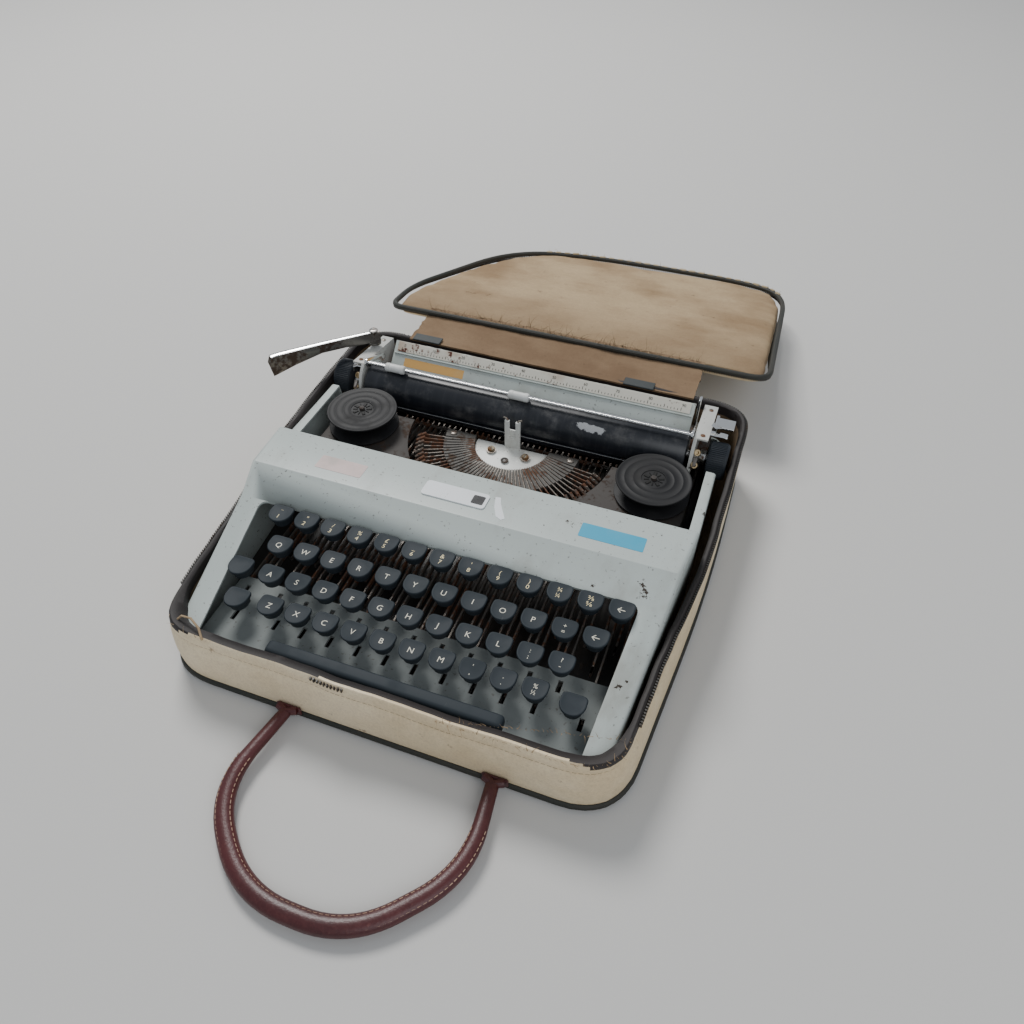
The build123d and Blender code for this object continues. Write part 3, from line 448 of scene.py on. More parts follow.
def join(name, parts):
    """One object from several, with their finishes kept."""
    with bpy.context.temp_override(active_object=parts[0], selected_editable_objects=parts):
        bpy.ops.object.join()
    parts[0].name = name
    return parts[0]


def belong(made, node, *more):
    """The piece moves with that node's body and stands in for the nodes, which are hidden."""
    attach(made, body_of_node[node])
    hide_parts(node, *more)
    return made


def detail(made, node):
    """A small extra that moves with a node's body but stands for nothing."""
    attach(made, body_of_node[node])
    return smooth(made)


def rounded(node, width, *materials, steps=2, least=30):
    """A frame node with its sharp edges rounded; the second material, if any, goes there."""
    work = cad_work(node)
    sharp = [e for e in work.edges if bend_of(e) > least]
    round_edges(work, sharp, width, steps, 1 if len(materials) > 1 else -1)
    made = from_bmesh(node + "_finished", work, *materials)
    return belong(smooth(made), node)


def words(name, text, size, material, thickness=0.05):
    """Lettering as a thin mesh, centred on the origin and facing up."""
    curve = bpy.data.curves.new(name, "FONT")
    curve.body, curve.size, curve.extrude = text, size * MM, thickness * MM
    curve.align_x, curve.align_y = "CENTER", "CENTER"
    curve.resolution_u = 3
    source = bpy.data.objects.new(name, curve)
    bpy.context.scene.collection.objects.link(source)
    bpy.context.view_layer.update()
    mesh = bpy.data.meshes.new_from_object(source.evaluated_get(bpy.context.evaluated_depsgraph_get()))
    bpy.data.objects.remove(source)
    mesh.materials.clear()
    return add_object(name, mesh, material)


def box_at(name, centre, size, *materials, turn=None, width=0.15):
    """A small block with rounded edges, turned by a matrix if given; sizes in millimetres."""
    work = bmesh.new()
    bmesh.ops.create_cube(work, size=1.0, matrix=Matrix.Diagonal((*(Vector(size) * MM), 1.0)))
    if width:
        round_edges(work, work.edges[:], width, 1)
    if turn:
        work.transform(turn.to_4x4())
    work.transform(Matrix.Translation(Vector(centre) * MM))
    return from_bmesh(name, work, *materials)


def mm(*points):
    return [Vector(point) * MM for point in points]


print("mesh helpers are ready")

# %% [markdown]
# What repeats is grown by Geometry Nodes: teeth and stitches along a seam, bars in a fan,
# and ribs round a knob. Each group has named inputs and a fixed seed, and ends in plain mesh.

# %% Geometry Nodes helpers


def geometry_group(name, sockets):
    tree = bpy.data.node_groups.new(name, "GeometryNodeTree")
    tree.interface.new_socket("Geometry", in_out="INPUT", socket_type="NodeSocketGeometry")
    for label, kind in sockets:
        tree.interface.new_socket(label, in_out="INPUT", socket_type=kind)
    tree.interface.new_socket("Geometry", in_out="OUTPUT", socket_type="NodeSocketGeometry")
    group = Group(tree)
    start = tree.nodes.new("NodeGroupInput")
    inputs = {label: Wire(group, start.outputs[label]) for label in ["Geometry"] + [s[0] for s in sockets]}
    return group, inputs


def close_group(group, instances, material):
    whole = group.node("GeometryNodeRealizeInstances", {}, [instances])
    dressed = group.node("GeometryNodeSetMaterial", {}, {"Geometry": whole, "Material": material})
    end = group.tree.nodes.new("NodeGroupOutput")
    group.tree.links.new(dressed.socket, end.inputs[0])
    return group.tree


def seam_group():
    """Copies of a template along a curve, each a little turned and scaled."""
    sockets = [("Template", "NodeSocketObject"), ("Material", "NodeSocketMaterial")]
    sockets += [("Pitch", "NodeSocketFloat"), ("Wobble", "NodeSocketFloat")]
    sockets += [("Uneven", "NodeSocketFloat"), ("Seed", "NodeSocketInt")]
    group, given = geometry_group("along_seam", sockets)
    line = group.node(
        "GeometryNodeResampleCurve", {"mode": "LENGTH"}, {"Curve": given["Geometry"],
            "Length": given["Pitch"]}
    )
    tangent = group.node("GeometryNodeInputTangent", {}, [])
    along = group.node(
        "FunctionNodeAlignRotationToVector", {"axis": "X", "pivot_axis": "AUTO"}, {"Vector": tangent}
    )
    spin = {"Min": given["Wobble"] * -1.0, "Max": given["Wobble"], "Seed": given["Seed"]}
    random_turn = group.node("FunctionNodeRandomValue", {"data_type": "FLOAT_VECTOR"}, spin)
    turned = group.node(
        "FunctionNodeRotateRotation", {"rotation_space": "LOCAL"}, {"Rotation": along,
            "Rotate By": random_turn}
    )
    size = {2: 1.0 - given["Uneven"], 3: given["Uneven"] + 1.0, "Seed": given["Seed"] + 1.0}
    random_size = group.node("FunctionNodeRandomValue", {"data_type": "FLOAT"}, size, 1)
    shape = group.node("GeometryNodeObjectInfo", {}, {"Object": given["Template"]}, "Geometry")
    places = {"Points": line, "Instance": shape, "Rotation": turned, "Scale": random_size}
    return close_group(group, group.node("GeometryNodeInstanceOnPoints", {}, places), given["Material"])


def fan_group():
    """Copies of a template turned step by step about a centre."""
    sockets = [("Template", "NodeSocketObject"), ("Material", "NodeSocketMaterial")]
    sockets += [("Count", "NodeSocketInt"), ("First", "NodeSocketFloat"), ("Step", "NodeSocketFloat")]
    sockets += [("Axis", "NodeSocketVector"), ("Centre", "NodeSocketVector")]
    group, given = geometry_group("turned_fan", sockets)
    line = group.node(
        "GeometryNodeMeshLine", {"mode": "OFFSET"}, {"Count": given["Count"], "Offset": (0.0, 0.0, 0.0)}
    )
    placed = group.node("GeometryNodeSetPosition", {}, {"Geometry": line, "Position": given["Centre"]})
    angle = group.node("GeometryNodeInputIndex", {}, []) * given["Step"] + given["First"]
    turn = group.node("ShaderNodeVectorMath", {"operation": "SCALE"}, {0: given["Axis"], "Scale": angle})
    shape = group.node("GeometryNodeObjectInfo", {}, {"Object": given["Template"]}, "Geometry")
    places = {"Points": placed, "Instance": shape, "Rotation": turn}
    return close_group(group, group.node("GeometryNodeInstanceOnPoints", {}, places), given["Material"])


SEAM, FAN = seam_group(), fan_group()


def grow(name, tree, source, template, material, **values):
    """Runs a group on a source object and returns the result as one plain mesh."""
    modifier = source.modifiers.new(name, "NODES")
    modifier.node_group = tree
    values.update(Template=template, Material=material)
    for item in tree.interface.items_tree:
        if item.in_out == "INPUT" and item.name in values:
            modifier[item.identifier] = values[item.name]
    bpy.context.view_layer.update()
    scene_now = bpy.context.evaluated_depsgraph_get()
    mesh = bpy.data.meshes.new_from_object(source.evaluated_get(scene_now))
    bpy.data.objects.remove(source)
    bpy.data.objects.remove(template)
    mesh.materials.clear()
    return add_object(name, mesh, material)


def along(name, path, template, material, pitch, wobble=0.0, uneven=0.0, seed=1, cyclic=False):
    """Copies of a template object along a path of points; pitch in millimetres."""
    curve = bpy.data.curves.new(name + "_path", "CURVE")
    curve.dimensions = "3D"
    spline = curve.splines.new("POLY")
    spline.points.add(len(path) - 1)
    for point, place in zip(spline.points, path):
        point.co = (*place, 1.0)
    spline.use_cyclic_u = cyclic
    source = bpy.data.objects.new(name + "_path", curve)
    bpy.context.scene.collection.objects.link(source)
    return grow(name, SEAM, source, template, material, Pitch=pitch * MM, Wobble=wobble, Uneven=uneven,
        Seed=seed)


def fan(name, template, material, count, first, step, axis, centre):
    """Copies of a template turned about an axis; angles in degrees."""
    source = add_object(name + "_start", bpy.data.meshes.new(name + "_start"))
    first, step = radians(first), radians(step)
    return grow(name, FAN, source, template, material, Count=count, First=first, Step=step, Axis=axis,
        Centre=centre)


print("geometry groups are ready")

# %% [markdown]
# The body is a thin enamelled pressing. Its outer top edges are rolled to a soft radius, the
# crease along the band is gentle, and the cut edges of the openings show worn metal.

# %% Body pressing


LIP_Y = -0.0525


def make_housing():
    """The pressing, with its edges rolled, creased or left as a worn cut."""
    work = cad_work("housing")
    rolled = []
    for edge in work.edges:
        if len(edge.link_faces) != 2 or bend_of(edge) < 55:
            continue
        middle = (edge.verts[0].co + edge.verts[1].co) / 2
        side = min(edge.link_faces, key=lambda face: abs(face.normal.z))
        top = max(edge.link_faces, key=lambda face: face.normal.z)
        outward = side.normal.x * middle.x + side.normal.y * middle.y
        if abs(side.normal.z) < 0.1 and top.normal.z > 0.7 and outward > 0.01 and middle.z > 0.03:
            rolled.append(edge)
    corner = []
    for edge in work.edges:
        a, b = edge.verts[0].co, edge.verts[1].co
        upright = hypot(a.x - b.x, a.y - b.y) < 0.5 * MM and abs(a.z - b.z) > MM
        if upright and abs(abs(a.x) - 0.1285) < MM and abs(a.y - LIP_Y) < 1.5 * MM:
            corner.append(edge)
    round_edges(work, corner, 7.0, 6)
    rolled = [edge for edge in rolled if edge.is_valid]
    round_edges(work, rolled, 3.0, 4)
    crease = [e for e in work.edges if 15 < bend_of(e) < 45 and abs(e.verts[0].co.x - e.verts[1].co.x) > 0.1]
    round_edges(work, crease, 2.2, 4)
    cut = [e for e in work.edges if bend_of(e) > 50]
    round_edges(work, cut, 0.35, 2, 1)
    made = from_bmesh("housing_finished", work, body_paint, body_edge)
    return belong(smooth(made, 40), "housing")


housing = make_housing()
rounded("keyboard_panel", 0.5, floor_paint, floor_edge)
rounded("base_pan", 0.4, pan_black)
rounded("side_frames", 0.3, plate_steel)
rounded("fulcrum_rod", 0.2, frame_steel)
rounded("carriage_rail", 0.5, frame_steel)
rounded("spool_plates", 0.4, plate_steel)
print("body made,", len(housing.data.polygons), "faces on the pressing")

# %% [markdown]
# The band carries a blank name plate, two blank stickers and a smear of old paint.

# %% Plates and stickers on the band


def band_height(x, y):
    """Top of the band, in metres, between its crease and its rear edge."""
    return (72.0 - 2.0 * (y / MM + 31.0) / 39.0 + 0.05) * MM


def on_band(name, outline, thickness, *materials):
    """A thin plate lying on the band; outline in millimetres."""
    low, high = [], []
    for x, y in outline:
        base = band_height(0, y * MM)
        low.append((x * MM, y * MM, base - 0.1 * MM))
        high.append((x * MM, y * MM, base + thickness * MM))
    return skin(name, [low, high], *materials)


def rounded_box(x0, y0, x1, y1, radius, steps=5):
    """Outline of a rectangle with round corners."""
    points = []
    corners = ((x1, y1, 0), (x0, y1, 90), (x0, y0, 180), (x1, y0, 270))
    for x, y, start in corners:
        cx = x - radius if x == x1 else x + radius
        cy = y - radius if y == y1 else y + radius
        for i in range(steps + 1):
            angle = radians(start + 90 * i / steps)
            points.append((cx + radius * cos(angle), cy + radius * sin(angle)))
    return points


name_plate = join(
    "name_plate",
    [
        on_band("plate_card", rounded_box(-26.5, -21.5, 17.5, -7.5, 2.4), 0.9, card_white),
        on_band("plate_square", rounded_box(7.5, -18.6, 15.5, -10.6, 1.0), 1.05, card_black),
    ],
)
detail(name_plate, "housing")
detail(on_band("faded_sticker", rounded_box(-104.0, -22.0, -70.0, -9.0, 0.8), 0.12, card_pink), "housing")
detail(on_band("blue_sticker", rounded_box(80.0, -21.8, 121.0, -9.4, 0.8), 0.12, card_cyan), "housing")
smear = [(20.5, -7), (24, -6.5), (26, -12), (30, -19), (33, -24), (31, -26), (27, -24), (23, -16)]
detail(on_band("paint_smear", smear, 0.16, card_white), "housing")
print("plates and stickers made")

# %% [markdown]
# Keys have a cap that is round towards the typist and straight at the rear, with a narrow
# skirt and a shallow dish. Stems and levers are kept from the frame. Legends are generic.

# %% Keys
LEGENDS_TOP = ["¨\n1", '"\n2', "/\n3", "%\n4", "£\n5", "_\n6", "&\n7", "'\n8", "(\n9", ")\n0"]
LEGENDS_TOP += ["¾\n¼", "⅜\n⅝"]
LEGENDS_SIDE = ["+\n=", "←", ":\n;", "?\n-", "'\n,", ".\n.", "%\n½"]


def cap_outline(width, depth, count=40):
    """Key outline, widest ahead of its rear edge: flat behind and round in front."""
    points = []
    for i in range(count):
        angle = 2 * pi * i / count
        c, s = cos(angle), sin(angle)
        rear = s > 0
        power = 0.42 if rear else 0.96
        half = depth * (0.42 if rear else 0.58)
        x = width / 2 * (abs(c) ** power) * (1 if c > 0 else -1)
        y = half * (abs(s) ** power) * (1 if s > 0 else -1)
        points.append((x, y + depth * 0.08))
    return points


def make_cap(name, low, high):
    """A cap filling the box of the plain one."""
    width, depth, height = (high - low)
    centre = (low + high) / 2
    outline = cap_outline(width, depth)
    steps = ((0.74, -1.0), (0.80, -0.62), (0.93, -0.36), (0.99, -0.20), (1.0, -0.11), (0.985, -0.04))
    steps += ((0.94, -0.004), (0.89, 0.0), (0.84, -0.012), (0.62, -0.045), (0.34, -0.062), (0.08, -0.066))
    rings = []
    for scale, drop in steps:
        z = high.z + drop * height
        lean = 0.05 * depth * min(0.0, drop)
        rings.append([(centre.x + x * scale, centre.y + y * scale - lean, z) for x, y in outline])
    return skin(name, rings, key_plastic)


def legend_for(node, index, centre, high, width):
    """The cap's legend laid on its dished top, or None for a blank key."""
    text, size, material = None, 5.4, legend_cream
    if node.startswith("key_"):
        text = node[-1].upper()
    elif node == "number_symbol_keys":
        text = (LEGENDS_TOP + LEGENDS_SIDE)[index]
        size, material = (4.5, legend_yellow) if index < len(LEGENDS_TOP) else (4.2, legend_cream)
    elif node == "backspace_key":
        text = "←"
    if not text:
        return None
    size = 6.6 if text == "←" else size
    made = words(f"{node}_legend_{index}", text, size, material, 0.06)
    made.data.transform(Matrix.Translation((centre.x, centre.y - 0.02 * width, high.z - 0.42 * MM)))
    return made


def make_keys(node):
    """Every key of a node: new caps, kept levers, and legends, as one piece."""
    work = bmesh.new()
    work.from_mesh(nodes[node].data)
    bmesh.ops.remove_doubles(work, verts=work.verts, dist=2e-6)
    parts, caps = [], []
    for group in islands(work):
        upper = [v for v in group if v.co.z > extent(group)[1].z - 8.1 * MM]
        low, high = extent(upper)
        if high.x - low.x > 10 * MM and high.z > 0.04:
            caps.append((low, high))
            bmesh.ops.delete(work, geom=upper, context="VERTS")
    caps.sort(key=lambda box: (-round(box[0].y / MM), box[0].x))
    for index, (low, high) in enumerate(caps):
        parts.append(make_cap(f"{node}_cap_{index}", low, high))
        legend = legend_for(node, index, (low + high) / 2, high, high.x - low.x)
        if legend:
            parts.append(legend)
    edge_loops = [e for e in work.edges if e.is_boundary]
    bmesh.ops.holes_fill(work, edges=edge_loops)
    parts.append(from_bmesh(node + "_lever", work, lever_steel))
    made = join(node + "_finished", parts)
    return belong(smooth(made, 50), node)


key_nodes = sorted(n for n in nodes if n.startswith("key_"))
key_nodes += ["number_symbol_keys", "backspace_key", "shift_lock_key", "shift_keys"]
for key_node in key_nodes:
    make_keys(key_node)
print("made", len(key_nodes), "key pieces")

# %% [markdown]
# The space bar is a long low moulding: a flat top, a sloping front and tapered ends.

# %% Space bar


def make_space_bar():
    work = bmesh.new()
    work.from_mesh(nodes["space_bar"].data)
    bmesh.ops.remove_doubles(work, verts=work.verts, dist=2e-6)
    top = max(v.co.z for v in work.verts)
    bar = [v for v in work.verts if v.co.z > top - 7.1 * MM]
    low, high = extent(bar)
    bmesh.ops.delete(work, geom=bar, context="VERTS")
    bmesh.ops.holes_fill(work, edges=[e for e in work.edges if e.is_boundary])
    steel_part = from_bmesh("space_bar_levers", work, lever_steel)
    depth, height = high.y - low.y, high.z - low.z
    section = ((0.02, 0.0), (0.0, 0.45), (0.03, 0.74), (0.14, 0.9), (0.24, 0.97), (0.34, 1.0), (0.6, 0.98))
    section += ((0.84, 1.0), (0.93, 0.97), (0.98, 0.9), (1.0, 0.7), (0.99, 0.35), (0.96, 0.0))
    rings = []
    length = high.x - low.x
    for share, squeeze, drop in ((0, 0.72, 0.22), (0.004, 0.88, 0.1), (0.012, 0.97, 0.02), (0.03, 1, 0)):
        rings.append((low.x + share * length, squeeze, drop))
    for share, squeeze, drop in ((0.97, 1, 0), (0.988, 0.97, 0.02), (0.996, 0.88, 0.1), (1, 0.72, 0.22)):
        rings.append((low.x + share * length, squeeze, drop))
    made_rings = []
    for x, squeeze, drop in rings:
        ring = []
        for y, z in section:
            ring.append((x, low.y + (0.5 + (y - 0.5) * squeeze) * depth, low.z + z * (1 - drop) * height))
        made_rings.append(ring)
    bar_part = skin("space_bar_moulding", made_rings, key_plastic)
    return belong(smooth(join("space_bar_finished", [bar_part, steel_part]), 40), "space_bar")


make_space_bar()
print("space bar made")

# %% [markdown]
# The type basket: an iron segment with a slot for every bar, a bright half-round cover with
# the notched type guide standing on it, and a fan of rusty bars with brighter slugs.

# %% Type basket
BASKET = Vector((0, 81, 0)) * MM
BAR_STEP = 160.0 / 42


def screw(name, centre, radius, axis, material, height=0.8, slot_turn=0.6):
    """A slotted cheese-head screw; sizes in millimetres."""
    profile = [(0.1, -0.4), (radius * 0.96, -0.4), (radius, 0), (radius, height * 0.7)]
    profile += [(radius * 0.88, height), (radius * 0.1, height)]
    head = lathe(name, [(r * MM, z * MM) for r, z in profile], Vector(centre) * MM, axis, material, count=24)
    turn = Vector((0, 0, 1)).rotation_difference(Vector(axis)).to_matrix() @ Matrix.Rotation(slot_turn, 3,
        "Z")
    tip = Vector(centre) + Vector(axis).normalized() * height
    # The slot is not cut: a thin dark strip on the head is its painted shade.
    cut = box_at(name + "_slot", tip, (radius * 1.8, radius * 0.3, 0.12), recess_shade_steel, turn=turn, width=0)
    return join(name, [head, cut])


def make_segment():
    work = cad_work("type_segment")
    sharp = [e for e in work.edges if bend_of(e) > 60 and e.calc_length() > 2 * MM]
    round_edges(work, sharp, 0.12, 1)
    body = from_bmesh("segment_body", work, segment_iron)
    parts = [body]
    for side in (-1, 1):
        parts.append(screw(f"segment_screw_{side}", (side * 46.5, 77.5, 39.0), 2.6, (0, 0, 1), slug_steel,
            0.9))
    return belong(smooth(join("type_segment_finished", parts), 35), "type_segment")


def make_cover():
    work = cad_work("segment_cover")
    sharp = [e for e in work.edges if bend_of(e) > 50]
    round_edges(work, sharp, 0.28, 2)
    parts = [from_bmesh("cover_plate", work, cover_paint)]
    for side in (-1, 1):
        place = (side * 13.5, 71.0, 37.0)
        parts.append(screw(f"cover_screw_{side}", place, 2.7, (0, 0, 1), rusty_bolt, 2.2, 0.4 + side))
        profile = [(0.1, 0), (3.8, 0), (3.8, 0.5), (0.1, 0.5)]
        profile = [(r * MM, z * MM) for r, z in profile]
        parts.append(lathe(f"washer_{side}", profile, Vector(place) * MM, (0, 0, 1), slug_steel, count=24))
    # The cover hole is a filled dark ring: its dark colour is painted shade of the hole.
    ring = [(1.2, -0.2), (3.0, -0.2), (3.0, 0.35), (2.4, 0.35), (2.2, -0.1), (1.2, -0.15)]
    ring = [(r * MM, z * MM) for r, z in ring]
    parts.append(lathe("cover_hole", ring, Vector((0, 63.5, 37.0)) * MM, (0, 0, 1), recess_shade_steel, count=28))
    parts.append(box_at("guide_web", (0, 81.4, 48.6), (5.4, 1.1, 7.0), cover_paint, width=0.1))
    for side in (-1, 1):
        tip = [(side * 3.0, 81.2, 59.5), (side * 4.8, 81.2, 61.6), (side * 7.2, 81.4, 62.6)]
        parts.append(tube(f"guide_ear_{side}", mm(*tip), 0.7 * MM, slug_steel, sides=8))
    return belong(smooth(join("segment_cover_finished", parts), 35), "segment_cover")


def bar_template(name):
    """One bar lying forward of the centre: curved blade and a two-faced slug."""
    low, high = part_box("centre_typebar")
    start = BASKET.y - 31 * MM
    tip_y, tip_z = low.y, 37.5 * MM
    parts = []
    rings = []
    for share in (0, 0.05, 0.2, 0.45, 0.7, 0.9, 1.0):
        y = start + 2.5 * MM + (tip_y + 2.6 * MM - start - 2.5 * MM) * share
        half = (1.45 - 0.35 * sin(pi * share)) * MM
        sag = -0.5 * MM * sin(pi * share)
        wide = 0.4 * MM
        rings.append([(s * wide, y, tip_z + sag + t * half) for s, t in ((-1, -1), (1, -1), (1, 1), (-1, 1))])
    parts.append(skin(name + "_blade", rings, type_steel))
    lean = Matrix.Rotation(radians(-61), 3, "X")
    slug = (0, tip_y / MM + 3.6, 37.5)
    parts.append(box_at(name + "_slug", slug, (2.5, 2.1, 7.6), slug_steel, turn=lean, width=0.3))
    for step in (-1.9, 1.9):
        away = lean @ Vector((0, 1.15, step))
        face = tuple(Vector(slug) + away)
        parts.append(box_at(f"{name}_face_{step}", face, (1.5, 0.5, 2.3), slug_steel, turn=lean, width=0.1))
    return join(name, parts)


def shifted(made, offset):
    made.data.transform(Matrix.Translation(offset))
    return made


def make_bars():
    """The whole fan but its middle bar, grown on both sides."""
    fans = []
    for side, first in (("left", -80.0), ("right", BAR_STEP)):
        template = shifted(bar_template("bar_template"), -BASKET)
        fans.append(fan(f"bars_{side}", template, type_steel, 21, first, BAR_STEP, (0, 0, 1), BASKET))
    return belong(smooth(join("typebars_finished", fans), 35), "typebars")


cover_paint = enamel("cover_enamel", (0.74, 0.75, 0.71), (0.30, 0.26, 0.19), 0.69, (0.12, 0.07, 0.04))
rusty_bolt = steel("rusty_bolt", (0.24, 0.20, 0.13), (0.11, 0.06, 0.025), 0.72, 0.5, 0.5)
make_segment()
make_cover()
bars = make_bars()
belong(smooth(bar_template("centre_typebar_finished"), 35), "centre_typebar")
print("type basket made,", len(bars.data.polygons), "faces in the fan")

# %% [markdown]
# Each ribbon spool is a black plastic disc over a hub and a second disc, with a raised rim, fine
# rings, a flower of slots in painted shade about the bright pin, and a few scratches.

# %% Spools


def ring_profile(rows):
    return [(r * MM, z * MM) for r, z in rows]


def make_spool(node):
    low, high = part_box(node)
    middle = (low + high) / 2
    centre = Vector((middle.x, middle.y, 0))
    rows = [(2.1, 46.0), (25.7, 46.0), (26.0, 46.3), (26.0, 47.0), (25.6, 47.2), (9.2, 47.2), (9.2, 58.7)]
    rows += [(25.5, 58.7), (26.0, 59.0), (26.0, 59.7), (25.6, 60.0), (24.6, 60.0), (24.2, 59.8)]
    rows += [(20.4, 59.8), (20.2, 59.9), (19.8, 59.9), (19.6, 59.8), (14.4, 59.8), (14.2, 59.9)]
    rows += [(13.8, 59.9), (13.6, 59.8), (9.6, 59.8), (9.3, 60.0), (8.6, 60.0), (8.3, 59.5), (2.1, 59.5)]
    parts = [lathe(node + "_discs", ring_profile(rows), centre, (0, 0, 1), spool_plastic, count=96)]
    # The petals and slits are darker patches on the top disc: painted shade of the slots.
    for i in range(5):
        angle = radians(72 * i + 20)
        place = (centre.x / MM + 5.3 * cos(angle), centre.y / MM + 5.3 * sin(angle), 59.72)
        turn = Matrix.Rotation(angle, 3, "Z")
        parts.append(box_at(f"{node}_petal_{i}", place, (4.0, 2.3, 0.7), hollow_black, turn=turn, width=0.3))
        side = Matrix.Rotation(angle + 0.63, 3, "Z")
        place = (centre.x / MM + 5.0 * cos(angle + 0.63), centre.y / MM + 5.0 * sin(angle + 0.63), 59.7)
        parts.append(box_at(f"{node}_slit_{i}", place, (3.4, 0.8, 0.6), hollow_black, turn=side, width=0.2))
    pin = ring_profile([(0.1, 59.0), (1.6, 59.0), (1.6, 60.9), (1.2, 61.4), (0.1, 61.5)])
    parts.append(lathe(node + "_pin", pin, centre, (0, 0, 1), slug_steel, count=20))
    return belong(smooth(join(node + "_finished", parts), 35), node)


# Near-black for the spool slots: painted shade of the hollows.
hollow_black = plastic("hollow_black", (0.006, 0.006, 0.006), (0.05, 0.045, 0.04), 0.3, 0.6)
make_spool("spool_left")
make_spool("spool_right")
print("spools made")

# %% [markdown]
# The platen is a dark rubber roller with rubbed streaks and one bright scuff of metal paint.
# Its knobs are ribbed by the fan group, and the bail above carries two white rollers and a
# saw-toothed edge.

# %% Platen, knobs and bail
PLATEN = Vector((0, 102, 50)) * MM


def rubber_with_scuff():
    """Platen rubber: rings rubbed round it, dust, and a silver scuff right of the middle."""
    f = Finish("platen_rubber_scuffed")
    rings = f.noise(210.0, 5.0, 0.7, f.stretch(1.0, 0.06, 0.06))
    dust = f.noise(46.0, 6.0, 0.7).ramp(0.50, 0.78)
    shade = f.blend(rings.ramp(0.45, 0.75) * 0.5, (0.012, 0.014, 0.019), (0.045, 0.047, 0.055))
    shade = f.blend(dust * 0.35, shade, (0.24, 0.23, 0.22))
    x, y = f.axis("X"), f.axis("Y")
    across = ((x - 0.056) / 0.013).size().power(2.0)
    round_it = ((y - 0.0915) / 0.0026).size().power(2.0)
    ragged = f.noise(230.0, 5.0, 0.75)
    patch = 1 - (across + round_it + (ragged - 0.5) * 3.6).ramp(0.55, 0.75)
    shade = f.blend(patch, shade, (0.62, 0.62, 0.62))
    normal = f.bump(rings * 0.3 + patch * 0.4, 0.2, 0.0002)
    rough = dust * 0.2 - patch * 0.1 + 0.34
    return f.done(Base_Color=shade, Roughness=rough, Metallic=patch * 0.8, Normal=normal)


def along_x(name, rows, *materials, count=72, place=PLATEN, paint=None):
    """A turned piece on the platen's axis, or on a parallel one; rows are (radius, x)."""
    return lathe(name, ring_profile(rows), place, (1, 0, 0), *materials, count=count, paint=paint)


roller_rows = [(3.05, -126), (15.0, -126), (15.7, -125.7), (16, -125.2)]
roller_rows += [(16, -60), (16, 0), (16, 60), (16, 125.2), (15.7, 125.7), (15.0, 126), (3.05, 126)]
belong(smooth(along_x("platen_finished", roller_rows, rubber_with_scuff(), count=96), 35), "platen")
rounded("platen_axle", 0.3, worn_chrome)


def make_knobs():
    parts = []
    for side in (-1, 1):
        rows = [(3.2, 141), (12.2, 141), (12.9, 141.7), (12.9, 153.6), (12.2, 154.6), (10.5, 155)]
        rows += [(9.6, 154.5), (3.0, 154.4), (2.6, 154.0), (0.1, 154.0)]
        rows = [(r, side * x) for r, x in rows]
        parts.append(along_x(f"knob_{side}", rows, knob_plastic))
        rib = box_at("knob_rib", (side * 147.5, 0, 12.85), (11.5, 0.75, 1.1), knob_plastic, width=0.2)
        ribs = fan(f"knob_ribs_{side}", rib, knob_plastic, 56, 0, 360 / 56, (1, 0, 0), PLATEN)
        parts.append(ribs)
        collar = [(r, side * x) for r, x in ((3.05, 135), (5.2, 135), (5.4, 135.4), (5.4, 139.4), (3.05,
            139.8))]
        parts.append(along_x(f"knob_collar_{side}", collar, worn_chrome, count=32))
    return belong(smooth(join("platen_knobs_finished", parts), 35), "platen_knobs")


make_knobs()


def make_bail():
    low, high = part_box("bail_rollers")
    axis = Vector((0, (low.y + high.y) / 2, (low.z + high.z) / 2))
    arms = rounded("bail_bar", 0.3, chrome)
    parts = [arms]
    strip = box_at("bail_strip", (0, axis.y / MM + 0.6, axis.z / MM + 0.8), (250, 2.6, 0.7), chrome,
        width=0.15)
    parts.append(strip)
    edge_y, edge_z = axis.y / MM - 0.9, axis.z / MM + 0.8
    tooth = box_at("bail_tooth", (0, 0, 0), (1.0, 1.3, 0.5), chrome, turn=Matrix.Rotation(0.78, 3, "Z"),
        width=0)
    row = mm((-122, edge_y, edge_z), (122, edge_y, edge_z))
    parts.append(along("bail_teeth", row, tooth, chrome, 2.54, seed=5))
    bar = join("bail_bar_finished", parts)
    rollers = []
    for node_x in (-103, -2):
        rows = [(1.3, -8), (2.5, -8), (3.2, -7.4), (3.45, -6), (3.45, -4.6), (3.25, -4.4), (3.25, 4.4)]
        rows += [(3.45, 4.6), (3.45, 6), (3.2, 7.4), (2.5, 8), (1.3, 8)]
        rows = [(r, x + node_x) for r, x in rows]
        rollers.append(along_x(f"roller_{node_x}", rows, roller_white, count=32, place=axis))
    rolls = join("bail_rollers_finished", rollers)
    belong(smooth(rolls, 35), "bail_rollers")
    return smooth(bar, 35)


make_bail()
rounded("platen_apron", 0.2, apron_black, worn_chrome)
print("platen, knobs and bail made")

# %% [markdown]
# The paper table is a sloping enamelled plate. A cream scale with ticks and figures runs
# along its top edge, rusty at the left, and a faded label without words is stuck below it.

# %% Paper table and scale
SLOPE = Matrix.Rotation(radians(45), 4, "X")


def on_table(made, x, along_slope):
    """Puts a flat piece on the table: x, then distance down the slope from its top edge."""
    down = along_slope * cos(radians(45))
    place = Vector((x, 142 - down, 65 - down)) * MM
    made.data.transform(Matrix.Translation(place) @ SLOPE)
    return made


